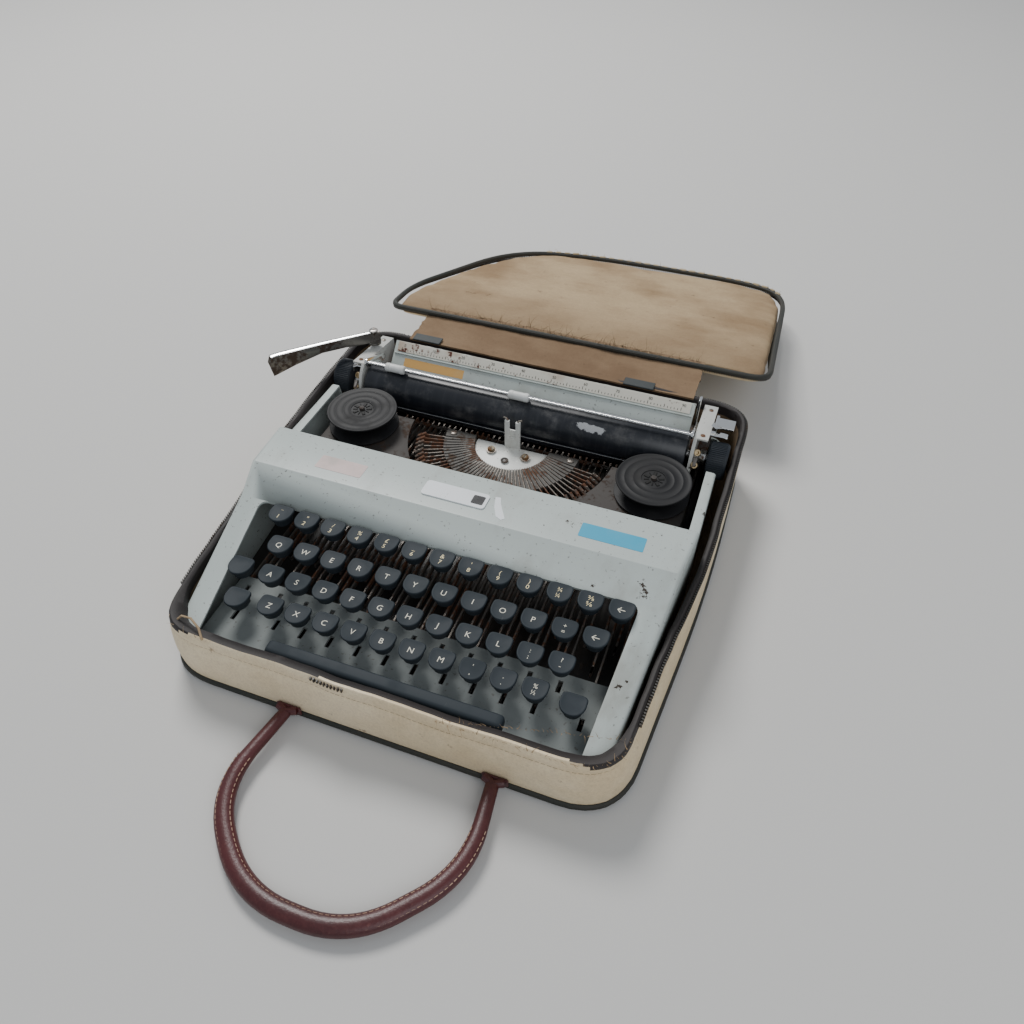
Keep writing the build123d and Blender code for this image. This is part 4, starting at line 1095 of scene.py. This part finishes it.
def rusty_scale():
    """Cream scale enamel that is eaten by rust towards its left end."""
    f = Finish("scale_rusty")
    left = (f.axis("X") * -1.0).ramp(-0.02, 0.125)
    eaten = (f.noise(130.0, 7.0, 0.75) * 0.8 + f.noise(400.0, 3.0) * 0.2 + left * 0.10).ramp(0.60, 0.66)
    stain = (f.noise(30.0, 4.0) + left * 0.12).ramp(0.54, 0.72)
    shade = f.blend(stain * 0.6, (0.70, 0.67, 0.58), (0.42, 0.27, 0.17))
    shade = f.blend(eaten, shade, (0.11, 0.032, 0.018))
    return f.done(Base_Color=shade, Roughness=eaten * 0.3 + 0.45, Normal=f.bump(eaten * -0.5, 0.3, 0.0004))


def make_table():
    table = rounded("paper_table", 0.35, table_paint, end_edge)
    parts = [table]
    strip = box_at("scale_strip", (0, 0, 0.35), (240, 8.2, 0.7), rusty_scale(), width=0.2)
    parts.append(on_table(strip, 0, 4.6))
    line = box_at("scale_fold", (0, 0, 0.5), (244, 1.2, 1.0), table_paint, width=0.3)
    parts.append(on_table(line, 0, 10.2))
    for name, length, pitch, offset in (("small", 1.3, 2.54, 7.6), ("large", 2.4, 12.7, 7.1)):
        tick = box_at("tick", (0, 0, 0), (0.4, length, 0.08), ink, turn=SLOPE.to_3x3(), width=0)
        start = Vector((-116, 142 - offset * 0.7071, 65 - offset * 0.7071 + 1.02))
        row = [start * MM, (start + Vector((229, 0, 0))) * MM]
        parts.append(along(f"ticks_{name}", row, tick, ink, pitch, seed=3))
    for number in range(0, 100, 10):
        text = words(f"scale_{number}", str(number), 3.1, ink, 0.03)
        text.data.transform(Matrix.Translation((0, 0, 0.75 * MM)))
        parts.append(on_table(text, -114 + number * 2.54, 3.4))
    label = box_at("label", (0, 0, 0), (52, 7.0, 0.12), card_orange, width=0.05)
    parts.append(on_table(label, -86, 16.5))
    return smooth(join("paper_table_finished", parts), 35)


ink = plastic("scale_ink", (0.02, 0.018, 0.016), (0.16, 0.13, 0.1), 0.3, 0.6)
make_table()
print("paper table made")

# %% [markdown]
# Carriage ends are enamelled plates with a turned-over top, each with its screws. Chrome
# levers stand on them. The return lever is an upright blade with a bright top edge.

# %% Carriage ends and levers


def make_ends():
    ends = rounded("carriage_ends", 0.4, end_paint, end_edge)
    parts = [ends]
    for side in (-1, 1):
        for y, z in ((88.5, 52.5), (93.5, 60.0)):
            ring = [(1.0, -0.4), (2.6, -0.4), (2.6, 1.6), (2.1, 2.0), (1.3, 2.0), (1.2, 0.6), (1.0, 0.5)]
            place = Vector((side * 133.5, y, z)) * MM
            turned = [(r, t - 1.0) for r, t in ring]
            name = f"brass_screw_{side}_{y}"
            parts.append(lathe(name, ring_profile(turned), place, (0.35 * side, -0.7, 0.5), brass, count=24))
        for y in (103, 141):
            z = 69.2 - (y - 98) * 0.15
            name = f"end_rivet_{side}_{y}"
            parts.append(screw(name, (side * 134.5, y, z), 1.7, (0, 0.15, 1), slug_steel, 0.5, y))
        strap = [(side * 131.5, 90, 47), (side * 131.5, 87.5, 50.5), (side * 133.5, 87, 54), (side * 133.5,
            90, 58)]
        parts.append(tube(f"end_strap_{side}", mm(*strap), 1.5 * MM, lever_steel, sides=8, flat=0.5))
    tab = [(131, 112, 66.0), (137, 111, 66.0), (143, 110.5, 66.2), (148, 110.5, 66.4), (151, 110.5, 66.0)]
    parts.append(tube("chrome_tab", mm(*tab), 2.6 * MM, chrome, sides=10, flat=0.28))
    hook = [(140, 121, 62), (143, 118, 66), (144, 114.5, 69.5), (141.5, 112, 71.5), (139, 113, 72.5)]
    parts.append(tube("chrome_hook", mm(*hook), 2.2 * MM, chrome, sides=10, flat=0.35))
    left = [(-131, 104, 62), (-138, 103, 63), (-141.5, 102, 62), (-142.5, 101, 58.5)]
    parts.append(tube("left_tab", mm(*left), 2.6 * MM, chrome, sides=10, flat=0.4))
    return smooth(join("carriage_ends_finished", parts), 35)


def make_return_lever():
    """The blade with its lower edge left dark, a rolled bright top edge and a curled tip."""
    work = cad_work("return_lever")
    round_edges(work, [e for e in work.edges if bend_of(e) > 40], 0.3, 2, 1)
    blade = from_bmesh("return_blade", work, blade_metal, chrome)
    low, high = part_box("return_lever")
    parts = [blade]
    start, end = Vector((-135, 128, 78.1)), Vector((-192.6, 68.4, 79.7))
    run = (end - start).normalized()
    across = Vector((run.y, -run.x, 0))
    top = [(-1, 0), (6, 0.4), (20, 0.9), (38, 1.3), (56, 1.1), (70, 0.8), (79, 0.2), (83, -1.2)]
    length = (end - start).length
    path = [(start + run * s + across * w * 0.8 + Vector((0, 0, 0.2))) * MM for s, w in top if s < length + 2]
    parts.append(tube("return_edge", path, lambda t: (1.1 + 1.5 * t) * MM, chrome, sides=10, flat=0.42))
    parts.append(screw("return_pivot", (-135, 128, 79.4), 3.4, (0, 0, 1), worn_chrome, 0.9))
    return belong(smooth(join("return_lever_finished", parts), 35), "return_lever")


brass = steel("worn_brass", (0.44, 0.34, 0.20), (0.12, 0.07, 0.03), 0.42, 0.35, 0.9)
blade_metal = steel("lever_blade", (0.20, 0.19, 0.175), (0.028, 0.018, 0.012), 0.62, 0.34, 0.8)
make_ends()
make_return_lever()
rounded("carriage_bed", 0.4, frame_steel)
rounded("paper_release", 0.4, chrome)
rounded("carriage_release", 0.4, chrome)
print("carriage ends and levers made")

# %% [markdown]
# The case tray is a soft box round the machine. Its wall is one skin: cream vinyl outside, a
# dark binding over the rim, and brown suede inside. Slow noise makes the rim sag and wander.
# The rim is lower in front than behind, and a dark flap hangs inwards along the front.

# %% Case tray outline
CASE_HALF, CASE_FRONT, CASE_REAR = 163.0, -157.0, 163.0


def filleted(corners, radii, steps=8):
    """A closed outline with each corner replaced by an arc-like curve."""
    points = []
    for i, corner in enumerate(corners):
        here = Vector(corner)
        before, after = Vector(corners[i - 1]), Vector(corners[(i + 1) % len(corners)])
        reach = radii[i]
        a = here + (before - here).normalized() * min(reach, (before - here).length * 0.48)
        b = here + (after - here).normalized() * min(reach, (after - here).length * 0.48)
        for k in range(steps + 1):
            t = k / steps
            points.append(a * (1 - t) ** 2 + here * 2 * t * (1 - t) + b * t * t)
    return points


def evenly(points, pitch):
    """The closed outline again, with points at an even pitch."""
    closed = points + [points[0]]
    lengths = [0.0]
    for a, b in zip(closed, closed[1:]):
        lengths.append(lengths[-1] + (b - a).length)
    count = int(lengths[-1] / pitch)
    even, k = [], 0
    for i in range(count):
        target = lengths[-1] * i / count
        while lengths[k + 1] < target:
            k += 1
        t = (target - lengths[k]) / max(1e-9, lengths[k + 1] - lengths[k])
        even.append(closed[k].lerp(closed[k + 1], t))
    return even


def tray_outline(inset, pitch=4.0):
    """Points round the tray with their outward directions, in millimetres.

    The sides are straight behind and come in towards the front corners."""
    half, front_half = CASE_HALF, CASE_HALF - 16.0
    corners = ((front_half, CASE_FRONT), (half, 20.0), (half, CASE_REAR))
    corners += ((-half, CASE_REAR), (-half, 20.0), (-front_half, CASE_FRONT))
    line = evenly(filleted(corners, (34, 60, 32, 32, 60, 34)), pitch)
    count = len(line)
    points = []
    for i, point in enumerate(line):
        ahead = line[(i + 1) % count] - line[i - 1]
        out = Vector((ahead.y, -ahead.x)).normalized()
        points.append((point.x - out.x * inset, point.y - out.y * inset, out.x, out.y))
    return points


def rim_height(x, y):
    """Height of the rim, with its sag, in millimetres."""
    level = 46.0 + 13.0 * (y + 157.0) / 320.0
    wander = noise.noise(Vector((x * 0.018, y * 0.018, 3.0))) * 2.2
    return level - 0.8 + wander * 0.8


def front_share(y):
    """1 along the front of the tray, fading to 0 behind the front corners."""
    t = min(1.0, max(0.0, (-118.0 - y) / 26.0))
    return t * t * (3 - 2 * t)


def front_side(y):
    """1 beside the keyboard, fading to 0 beside the carriage and at the front face."""
    t = min(1.0, max(0.0, (10.0 - y) / 70.0)) * min(1.0, max(0.0, (y + 150.0) / 30.0))
    return t * t * (3 - 2 * t)


def wall_point(x, y, nx, ny, inset, z, share):
    """A point of the wall after sagging; share says how far up the wall it is."""
    wave = noise.noise(Vector((x * 0.022, y * 0.022, z * 0.012 + 9.0))) * 1.7
    wave += noise.noise(Vector((x * 0.07, y * 0.07, z * 0.05))) * 0.5
    lean = share * (wave + 0.4) + share * share * (1.6 + 2.6 * front_side(y))
    return (x - nx * (inset + lean), y - ny * (inset + lean), z)


WALL_ROWS = (
    (0.8, 4.0, 0.0), (0.0, 7.0, 0.05), (-0.5, 14.0, 0.15), (-0.7, 22.0, 0.3), (-0.5, 29.0, 0.45),
    (-0.3, 34.0, 0.6), (-0.2, -9.6, 0.8), (0.4, -8.6, 0.85), (0.9, -8.0, 0.85), (0.3, -7.4, 0.85),
    (0.1, -4.6, 0.9), (0.0, -3.4, 0.95), (0.5, -0.9, 1.0), (1.5, 0.0, 1.0), (3.0, -0.2, 1.0),
    (4.1, -1.4, 1.0), (4.6, -8.5, 0.9), (4.5, 29.0, 0.45), (4.4, 20.0, 0.3), (4.3, 4.2, 0.0),
)
BAND_FOOT = 29.0            # the side bands above this lie under the carriage knobs and are cut off as pieces of their own


def make_wall():
    rings = []
    for row, (inset, level, share) in enumerate(WALL_ROWS):
        ring = []
        for x, y, nx, ny in tray_outline(0):
            z = rim_height(x, y) + level if level <= 0 else level
            flap = front_share(y) * {15: 3.6, 16: 5.6}.get(row, 0.0)
            drop = front_share(y) * {15: -1.2, 16: 1.2}.get(row, 0.0)
            ring.append(Vector(wall_point(x, y, nx, ny, inset + flap, z + drop, share)) * MM)
        rings.append(ring)

    def paint(band):
        return 0 if band < 11 else 1 if band < 16 else 2

    made = skin("tray_wall", rings, case_vinyl, binding, lining_suede, closed=False, loop=True, paint=paint)
    for face in made.data.polygons:
        outer = face.normal.y < -0.3 or face.normal.z > 0.5
        if face.material_index == 1 and outer and face.center.y / MM < -152.5:
            face.material_index = 0
    return made


def split_sides(made, name, node="case_wall", stands=True):
    """Cuts off the upper side bands, which lie under the carriage knobs, as pieces of their own."""
    work = bmesh.new()
    work.from_mesh(made.data)
    materials = list(made.data.materials)
    bpy.data.objects.remove(made)

    def side_of(face):
        middle = face.calc_center_median() / MM
        if abs(middle.x) > 148 and -22 < middle.y < 150 and middle.z > BAND_FOOT - 0.1:
            return 1 if middle.x > 0 else -1
        return 0

    pieces = []
    for side, label in ((0, ""), (-1, "_left"), (1, "_right")):
        part = work.copy()
        gone = [face for face in part.faces if side_of(face) != side]
        bmesh.ops.delete(part, geom=gone, context="FACES")
        if not part.faces:
            part.free()
            continue
        piece = smooth(from_bmesh(name + label, part, *materials), 40)
        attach(piece, body_of_node[node])
        if stands and side == 0:
            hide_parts(node)
        if side:
            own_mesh(piece)
        pieces.append(piece)
    work.free()
    return pieces


tray_pieces = split_sides(make_wall(), "case_wall_finished")
print("tray wall made in", len(tray_pieces), "pieces")

# %% [markdown]
# Zip teeth run along the outside of the rim on a dark tape, and show in one place in front.
# Below the rim runs a row of stitches, and a dark piping closes the tray at its foot.

# %% Zip, stitches and piping


def rim_path(inset, down, keep):
    """Points along the rim at a depth below it, for the parts of the rim that keep() picks."""
    path = []
    for x, y, nx, ny in tray_outline(0):
        if keep(x, y):
            z = rim_height(x, y) + down
            path.append(Vector(wall_point(x, y, nx, ny, inset, z, 0.95)) * MM)
    return path


def rolled_path(path):
    """The same closed path, started where the longest gap in it ends."""
    gaps = [(path[i] - path[i - 1]).length for i in range(len(path))]
    start = gaps.index(max(gaps))
    return path[start:] + path[:start]


zip_metal = steel("zip_teeth", (0.05, 0.048, 0.045), (0.03, 0.022, 0.016), 0.5, 0.4, 0.5)
seam_thread = cloth("seam_thread", (0.36, 0.27, 0.16), (0.26, 0.18, 0.10), (0.10, 0.07, 0.04), 3000.0, 0.8,
    0.2)
worn_cream = cloth("worn_cream", (0.58, 0.49, 0.34), (0.40, 0.31, 0.18), (0.12, 0.08, 0.05), 900.0, 0.9, 0.5)


def tooth_template(size):
    return box_at("zip_tooth", (0, 0, 0), size, binding, width=0)


behind = rolled_path(rim_path(-0.5, -2.6, lambda x, y: y > -122))
teeth = along("rim_teeth", behind, tooth_template((0.9, 1.5, 2.6)), zip_metal, 1.9, seed=2)
split_sides(teeth, "zip_teeth", stands=False)
front_bit = rim_path(-0.2, -0.9, lambda x, y: y < -150 and -37 < x < -13)
front_teeth = along("front_teeth", front_bit, tooth_template((0.9, 1.4, 2.4)), zip_metal, 2.1, 0.1, 0.1, 4)
detail(front_teeth, "case_wall")
stitch = box_at("stitch", (0, 0, 0), (2.3, 0.4, 0.45), thread, width=0)
seam_line = rolled_path(rim_path(0.35, -8.0, lambda x, y: True))
split_sides(along("rim_stitches", seam_line, stitch, seam_thread, 3.4, 0.05, 0.1, 6), "rim_stitches",
    stands=False)
foot = [Vector((x, y, 3.4)) * MM for x, y, nx, ny in tray_outline(0.6)]
detail(tube("foot_piping", foot, 2.4 * MM, piping_green, sides=10, closed_path=True), "case_floor")


def make_floor():
    outline = [(inset, [Vector((x, y, z)) * MM for x, y, nx, ny in tray_outline(inset)]) for inset, z in
               ((3.0, 0.0), (1.2, 0.5), (0.9, 2.0), (0.9, 4.0))]
    rings = [ring for _, ring in outline]
    made = skin("case_floor_finished", rings, case_vinyl, lining_suede)
    for face in made.data.polygons:
        if face.normal.z > 0.9:
            face.material_index = 1
    return belong(smooth(made), "case_floor")


make_floor()


def fibre_template(name, length, bend):
    """One loose fibre: a thin bent strand of a few faces."""
    rings = []
    for i in range(5):
        t = i / 4
        size = 0.22 * (1 - 0.8 * t)
        x, z = bend * t * t, length * t
        rings.append([Vector((x + size * cos(a), size * sin(a), z)) * MM for a in (0, 2.1, 4.2)])
    return skin(name, rings, fray)


ragged = rim_path(0.6, -0.6, lambda x, y: y < -128 and x > 40)
loose = along("front_fibres", ragged, fibre_template("fibre_a", 2.6, 1.6), fray, 2.4, 1.3, 0.7, 11)
detail(loose, "case_wall")
left_bit = rim_path(0.8, -0.4, lambda x, y: y < -146 and x < -100)
detail(along("left_fibres", left_bit, fibre_template("fibre_b", 4.0, 2.5), fray, 8.0, 0.9, 0.5, 5),
    "case_wall")
strand = mm((-135, -147, 41), (-129, -144, 47), (-121, -145, 49.5), (-113, -149, 48.5), (-108, -154, 45.5))
detail(tube("loose_strand", strand, 0.7 * MM, fray, sides=6), "case_wall")
print("zip, stitches, piping and loose fibres made")

# %% [markdown]
# The lid lies open behind the tray: a padded board covered in worn suede, with a dark piping
# and a zip round its edge. A cloth simulation plumps the pad, and its movement is capped so
# that it stays on its board.

# %% Lid pad
LID_START = Vector((0, 204, 60)) * MM
LID_TILT = Matrix.Rotation(radians(-9.8), 4, "X")
LID_PLACE = Matrix.Translation(LID_START) @ LID_TILT
LID_CORNERS = ((-154, -10), (170, -8), (168, 185), (136, 207), (-18, 207), (-110, 181), (-158, 40))


LID_OUTLINE = evenly(filleted(LID_CORNERS, (12, 16, 40, 60, 90, 60, 26)), 4.0)


def lid_ring(inset, depth):
    """The lid's outline drawn in by an inset, at a depth below its top face."""
    middle = Vector((5, 98))
    ring = []
    for point in LID_OUTLINE:
        away = (point - middle).normalized()
        spot = point - away * inset
        deep = depth * (0.36 + 0.64 * min(1.0, max(0.0, spot.y / 170)))
        ring.append(LID_PLACE @ (Vector((spot.x, spot.y, -deep)) * MM))
    return ring


def relax(made, frames, cap):
    """Plumps a closed mesh with a short pressure simulation and caps how far it moves."""
    rest = [v.co.copy() for v in made.data.vertices]
    cloth_modifier = made.modifiers.new("plump", "CLOTH")
    settings = cloth_modifier.settings
    settings.use_pressure, settings.uniform_pressure_force = True, 4.0
    settings.tension_stiffness = settings.compression_stiffness = 40.0
    settings.bending_stiffness = 4.0
    settings.effector_weights.gravity = 0.0
    settings.quality = 6
    pin = made.vertex_groups.new(name="pin")
    pin.add([v.index for v in made.data.vertices if v.co.z > 1.0], 1.0, "ADD")
    cloth_modifier.point_cache.frame_start, cloth_modifier.point_cache.frame_end = 1, frames
    scene_now = bpy.context.scene
    for frame_now in range(1, frames + 1):
        scene_now.frame_set(frame_now)
    moved = made.evaluated_get(bpy.context.evaluated_depsgraph_get()).data
    places = [v.co.copy() for v in moved.vertices]
    made.modifiers.clear()
    made.vertex_groups.clear()
    scene_now.frame_set(1)
    for vertex, old, new in zip(made.data.vertices, rest, places):
        step = new - old
        vertex.co = old + step * min(1.0, cap / max(step.length, 1e-9))
    return made


def applied(made, kind, **settings):
    """A mesh modifier of that kind, applied at once."""
    modifier = made.modifiers.new(kind.lower(), kind)
    for key, value in settings.items():
        setattr(modifier, key, value)
    evaluated = made.evaluated_get(bpy.context.evaluated_depsgraph_get())
    mesh = bpy.data.meshes.new_from_object(evaluated)
    made.modifiers.clear()
    made.data = mesh
    return made


def make_lid():
    rings = [lid_ring(7, 23.0), lid_ring(2.5, 22.0), lid_ring(1.2, 18), lid_ring(1.0, 12), lid_ring(1.2, 6)]
    rings += [lid_ring(2.5, 2.8), lid_ring(5.5, 1.8)]
    pad = skin("case_lid_finished", rings, case_vinyl, lid_suede)
    applied(pad, "REMESH", mode="VOXEL", voxel_size=0.005, use_smooth_shade=True)
    relax(pad, 20, 0.0022)
    applied(pad, "SUBSURF", levels=1, render_levels=1)
    up = LID_TILT.to_3x3() @ Vector((0, 0, 1))
    for vertex in pad.data.vertices:
        if vertex.normal.dot(up) > 0.5:
            x, y, _ = vertex.co / MM
            wave = noise.noise(Vector((x * 0.013, y * 0.020, 1.0))) * 1.2
            wave += noise.noise(Vector((x * 0.05, y * 0.10, 4.0))) * 0.35
            vertex.co += up * wave * MM
    pad.data.materials.clear()
    for material in (case_vinyl, lid_suede):
        pad.data.materials.append(material)
    for face in pad.data.polygons:
        face.material_index = 1 if face.normal.dot(up) > -0.30 else 0
        face.use_smooth = True
    belong(pad, "case_lid")
    return pad


lid = make_lid()


def foot_piping_radius(t):
    """The lower piping thins out at its two ends, where it is tucked into the lid."""
    return 2.0 * MM * min(1.0, 0.2 + 16 * min(t, 1 - t))


def lid_trim():
    """Piping round the lid's edge, its zip, and the striped worn stretch at the far end."""
    edge = lid_ring(0.4, 1.6)
    trims = [tube("lid_piping", edge, 2.3 * MM, piping_green, sides=10, closed_path=True)]
    low_edge = rolled_path([p for p in lid_ring(2.4, 20.4) if p.y > 0.235])
    trims.append(tube("lid_foot_piping", low_edge, foot_piping_radius, piping_green, sides=8))
    for trim in trims:
        detail(trim, "case_lid")
    zip_line = lid_ring(-0.8, 5.6)
    teeth_row = along("lid_teeth", zip_line, tooth_template((0.9, 1.5, 2.4)), zip_metal, 1.9, seed=8,
        cyclic=True)
    detail(teeth_row, "case_lid")
    far = [p for p in lid_ring(0.2, 0.2) if p.y > 0.385 and -0.075 < p.x < 0.165]
    tuft = box_at("tuft", (0, 0, 0.4), (6.2, 2.6, 2.4), fray, width=0.6)
    detail(along("worn_piping", far, tuft, worn_cream, 9.0, 0.06, 0.12, 12), "case_lid")
    threads = along("far_fibres", far, fibre_template("fibre_c", 3.2, 2.2), fray, 4.6, 1.2, 0.6, 13)
    detail(threads, "case_lid")


lid_trim()
print("lid made,", len(lid.data.polygons), "faces")

# %% [markdown]
# A worn suede spine joins the tray to the lid. Loose fibres hang along the tear at the lid's
# edge, and two dark tabs are sewn at the tray's rear.

# %% Spine and tabs


def make_spine():
    rows, columns = 14, 72
    top, bottom = [], []
    for j in range(rows + 1):
        t = j / rows
        y = 156.0 + 47.0 * t
        row = []
        for i in range(columns + 1):
            s = i / columns
            x = -119 + 238 * s
            wave = noise.noise(Vector((x * 0.035, y * 0.05, 7.0))) * 1.5
            wave += noise.noise(Vector((x * 0.14, y * 0.16, 2.0))) * 0.5
            base = 58.6 + 2.2 * t - 1.6 * sin(pi * t)
            hem = noise.noise(Vector((y * 0.2, s * 5, 0.0))) * 1.6 * (abs(s - 0.5) * 2) ** 6
            row.append(Vector((x + hem, y, base + wave * (0.3 + 0.7 * sin(pi * t)))) * MM)
        top.append(row)
        bottom.append([p - Vector((0, 0, 1.5)) * MM for p in row])
    rings = []
    for upper, lower in zip(top, bottom):
        rings.append(upper + list(reversed(lower)))
    made = skin("spine_flap", rings, spine_suede)
    smooth(made, 50)
    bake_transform(made)
    return made


make_spine()
tear = []
for step in range(60):
    tear_x = -118 + 4.0 * step
    tear_y = 201 + noise.noise(Vector((tear_x * 0.05, 3.0, 1.0))) * 5
    tear.append(Vector((tear_x, tear_y, 60.6)) * MM)
fluff = along("hinge_fibres", tear, fibre_template("fibre_d", 6.0, 4.5), fray, 1.0, 1.5, 0.7, 21)
detail(fluff, "case_lid")
for tab_x in (-103.0, 76.0):
    tab = box_at(f"rear_tab_{int(tab_x)}", (tab_x, 158.5, 59.8), (24, 9, 1.4), tab_dark, width=0.4)
    detail(tab, "case_wall")
print("spine and tabs made")

# %% [markdown]
# The handle is a stitched burgundy leather strap, rolled over a core. It hangs forward on two
# sewn anchors on the front of the tray and lifts with its joint.

# %% Handle
HANDLE_POINTS = ((-55, 0), (-66, -55), (-24, -97), (38, -97), (82, -49), (77, 0))


def handle_point(x, v):
    tilt = radians(2)
    return Vector((x, -162.6 + v * cos(tilt), 9.5 + v * sin(tilt))) * MM


def handle_path(side_shift=0.0, lift=0.0):
    """The handle's centre line, or a line beside it on the strap's face."""
    flat = [Vector((*point, 0)) for point in HANDLE_POINTS]
    line = [flat[0]]
    for i in range(1, len(flat) - 1):
        a = flat[i] + (flat[i - 1] - flat[i]).normalized() * 27
        b = flat[i] + (flat[i + 1] - flat[i]).normalized() * 27
        line += [a * (1 - t) ** 2 + flat[i] * 2 * t * (1 - t) + b * t * t for t in (k / 10 for k in range(11))]
    line.append(flat[-1])
    path = []
    for i, point in enumerate(line):
        ahead = (line[min(i + 1, len(line) - 1)] - line[max(i - 1, 0)]).normalized()
        out = Vector((ahead.y, -ahead.x, 0))
        spot = point + out * side_shift
        path.append(handle_point(spot.x, spot.y) + Vector((0, 0, lift)) * MM)
    return path


def strap_radius(t):
    return (5.3 + 0.5 * sin(pi * t) - 1.3 * abs(2 * t - 1) ** 8) * MM


strap = tube("case_handle_finished", handle_path(), strap_radius, leather, sides=20, flat=0.72)
belong(smooth(strap, 60), "case_handle")
for name, shift in (("outer", 3.9), ("inner", -3.9)):
    stitch = box_at("handle_stitch", (0, 0, 0), (2.0, 0.42, 0.42), thread, width=0)
    row = handle_path(shift, 2.72)[2:-2]
    detail(along(f"handle_stitches_{name}", row, stitch, thread, 3.1, 0.05, 0.1, 31), "case_handle")
for anchor_x in (-55.0, 77.0):
    patch = box_at("anchor", (anchor_x, -158.4, 7.6), (16, 1.8, 7), leather, width=0.7)
    loop = tube("anchor_loop", mm((anchor_x - 6, -159.5, 9.5), (anchor_x, -162.2, 9.5), (anchor_x + 6,
        -159.5, 9.5)),
                2.6 * MM, leather, sides=10)
    anchor = join(f"handle_anchor_{int(anchor_x)}", [patch, loop])
    detail(anchor, "case_wall")
print("handle made")

# %% [markdown]
# The stage: a plain pale floor, a soft sky and two large lights from the window side, and the
# camera that looks down on the machine from its right front.

# %% Stage, light and camera
floor_finish = Finish("stage_floor")
floor_material = floor_finish.done(Base_Color=(0.62, 0.61, 0.59), Roughness=0.8)
floor_mesh = bmesh.new()
bmesh.ops.create_grid(floor_mesh, x_segments=1, y_segments=1, size=6.0)
stage_floor = from_bmesh("stage_floor", floor_mesh, floor_material)

world = bpy.data.worlds.new("soft_sky")
world.use_nodes = True
world.node_tree.nodes["Background"].inputs[0].default_value = (0.86, 0.92, 1.0, 1.0)
world.node_tree.nodes["Background"].inputs[1].default_value = 0.42
bpy.context.scene.world = world


def soft_light(name, place, target, size, power, tint):
    light = bpy.data.lights.new(name, "AREA")
    light.shape, light.size, light.energy, light.color = "DISK", size, power, tint
    made = bpy.data.objects.new(name, light)
    made.location = place
    made.rotation_mode = "QUATERNION"
    made.rotation_quaternion = (Vector(target) - Vector(place)).to_track_quat("-Z", "Y")
    bpy.context.scene.collection.objects.link(made)


soft_light("window", (-1.0, 1.2, 2.0), (0, 0.1, 0), 0.9, 52, (1.0, 0.99, 0.97))
soft_light("room", (1.2, -1.2, 1.6), (0, 0, 0), 1.6, 13, (0.96, 0.98, 1.0))

camera_data = bpy.data.cameras.new("camera")
camera_data.lens, camera_data.sensor_width = 28.23, 36.0
camera_data.clip_start = 0.01
camera = bpy.data.objects.new("camera", camera_data)
right, up = Vector((0.939, 0.3439, 0.0)), Vector((-0.2455, 0.6702, 0.7004))
facing = Matrix((right, up, right.cross(up))).transposed().to_4x4()
camera.matrix_world = Matrix.Translation((0.1576, -0.3507, 0.4340)) @ facing
bpy.context.scene.collection.objects.link(camera)
bpy.context.scene.camera = camera
print("stage, light and camera are set")
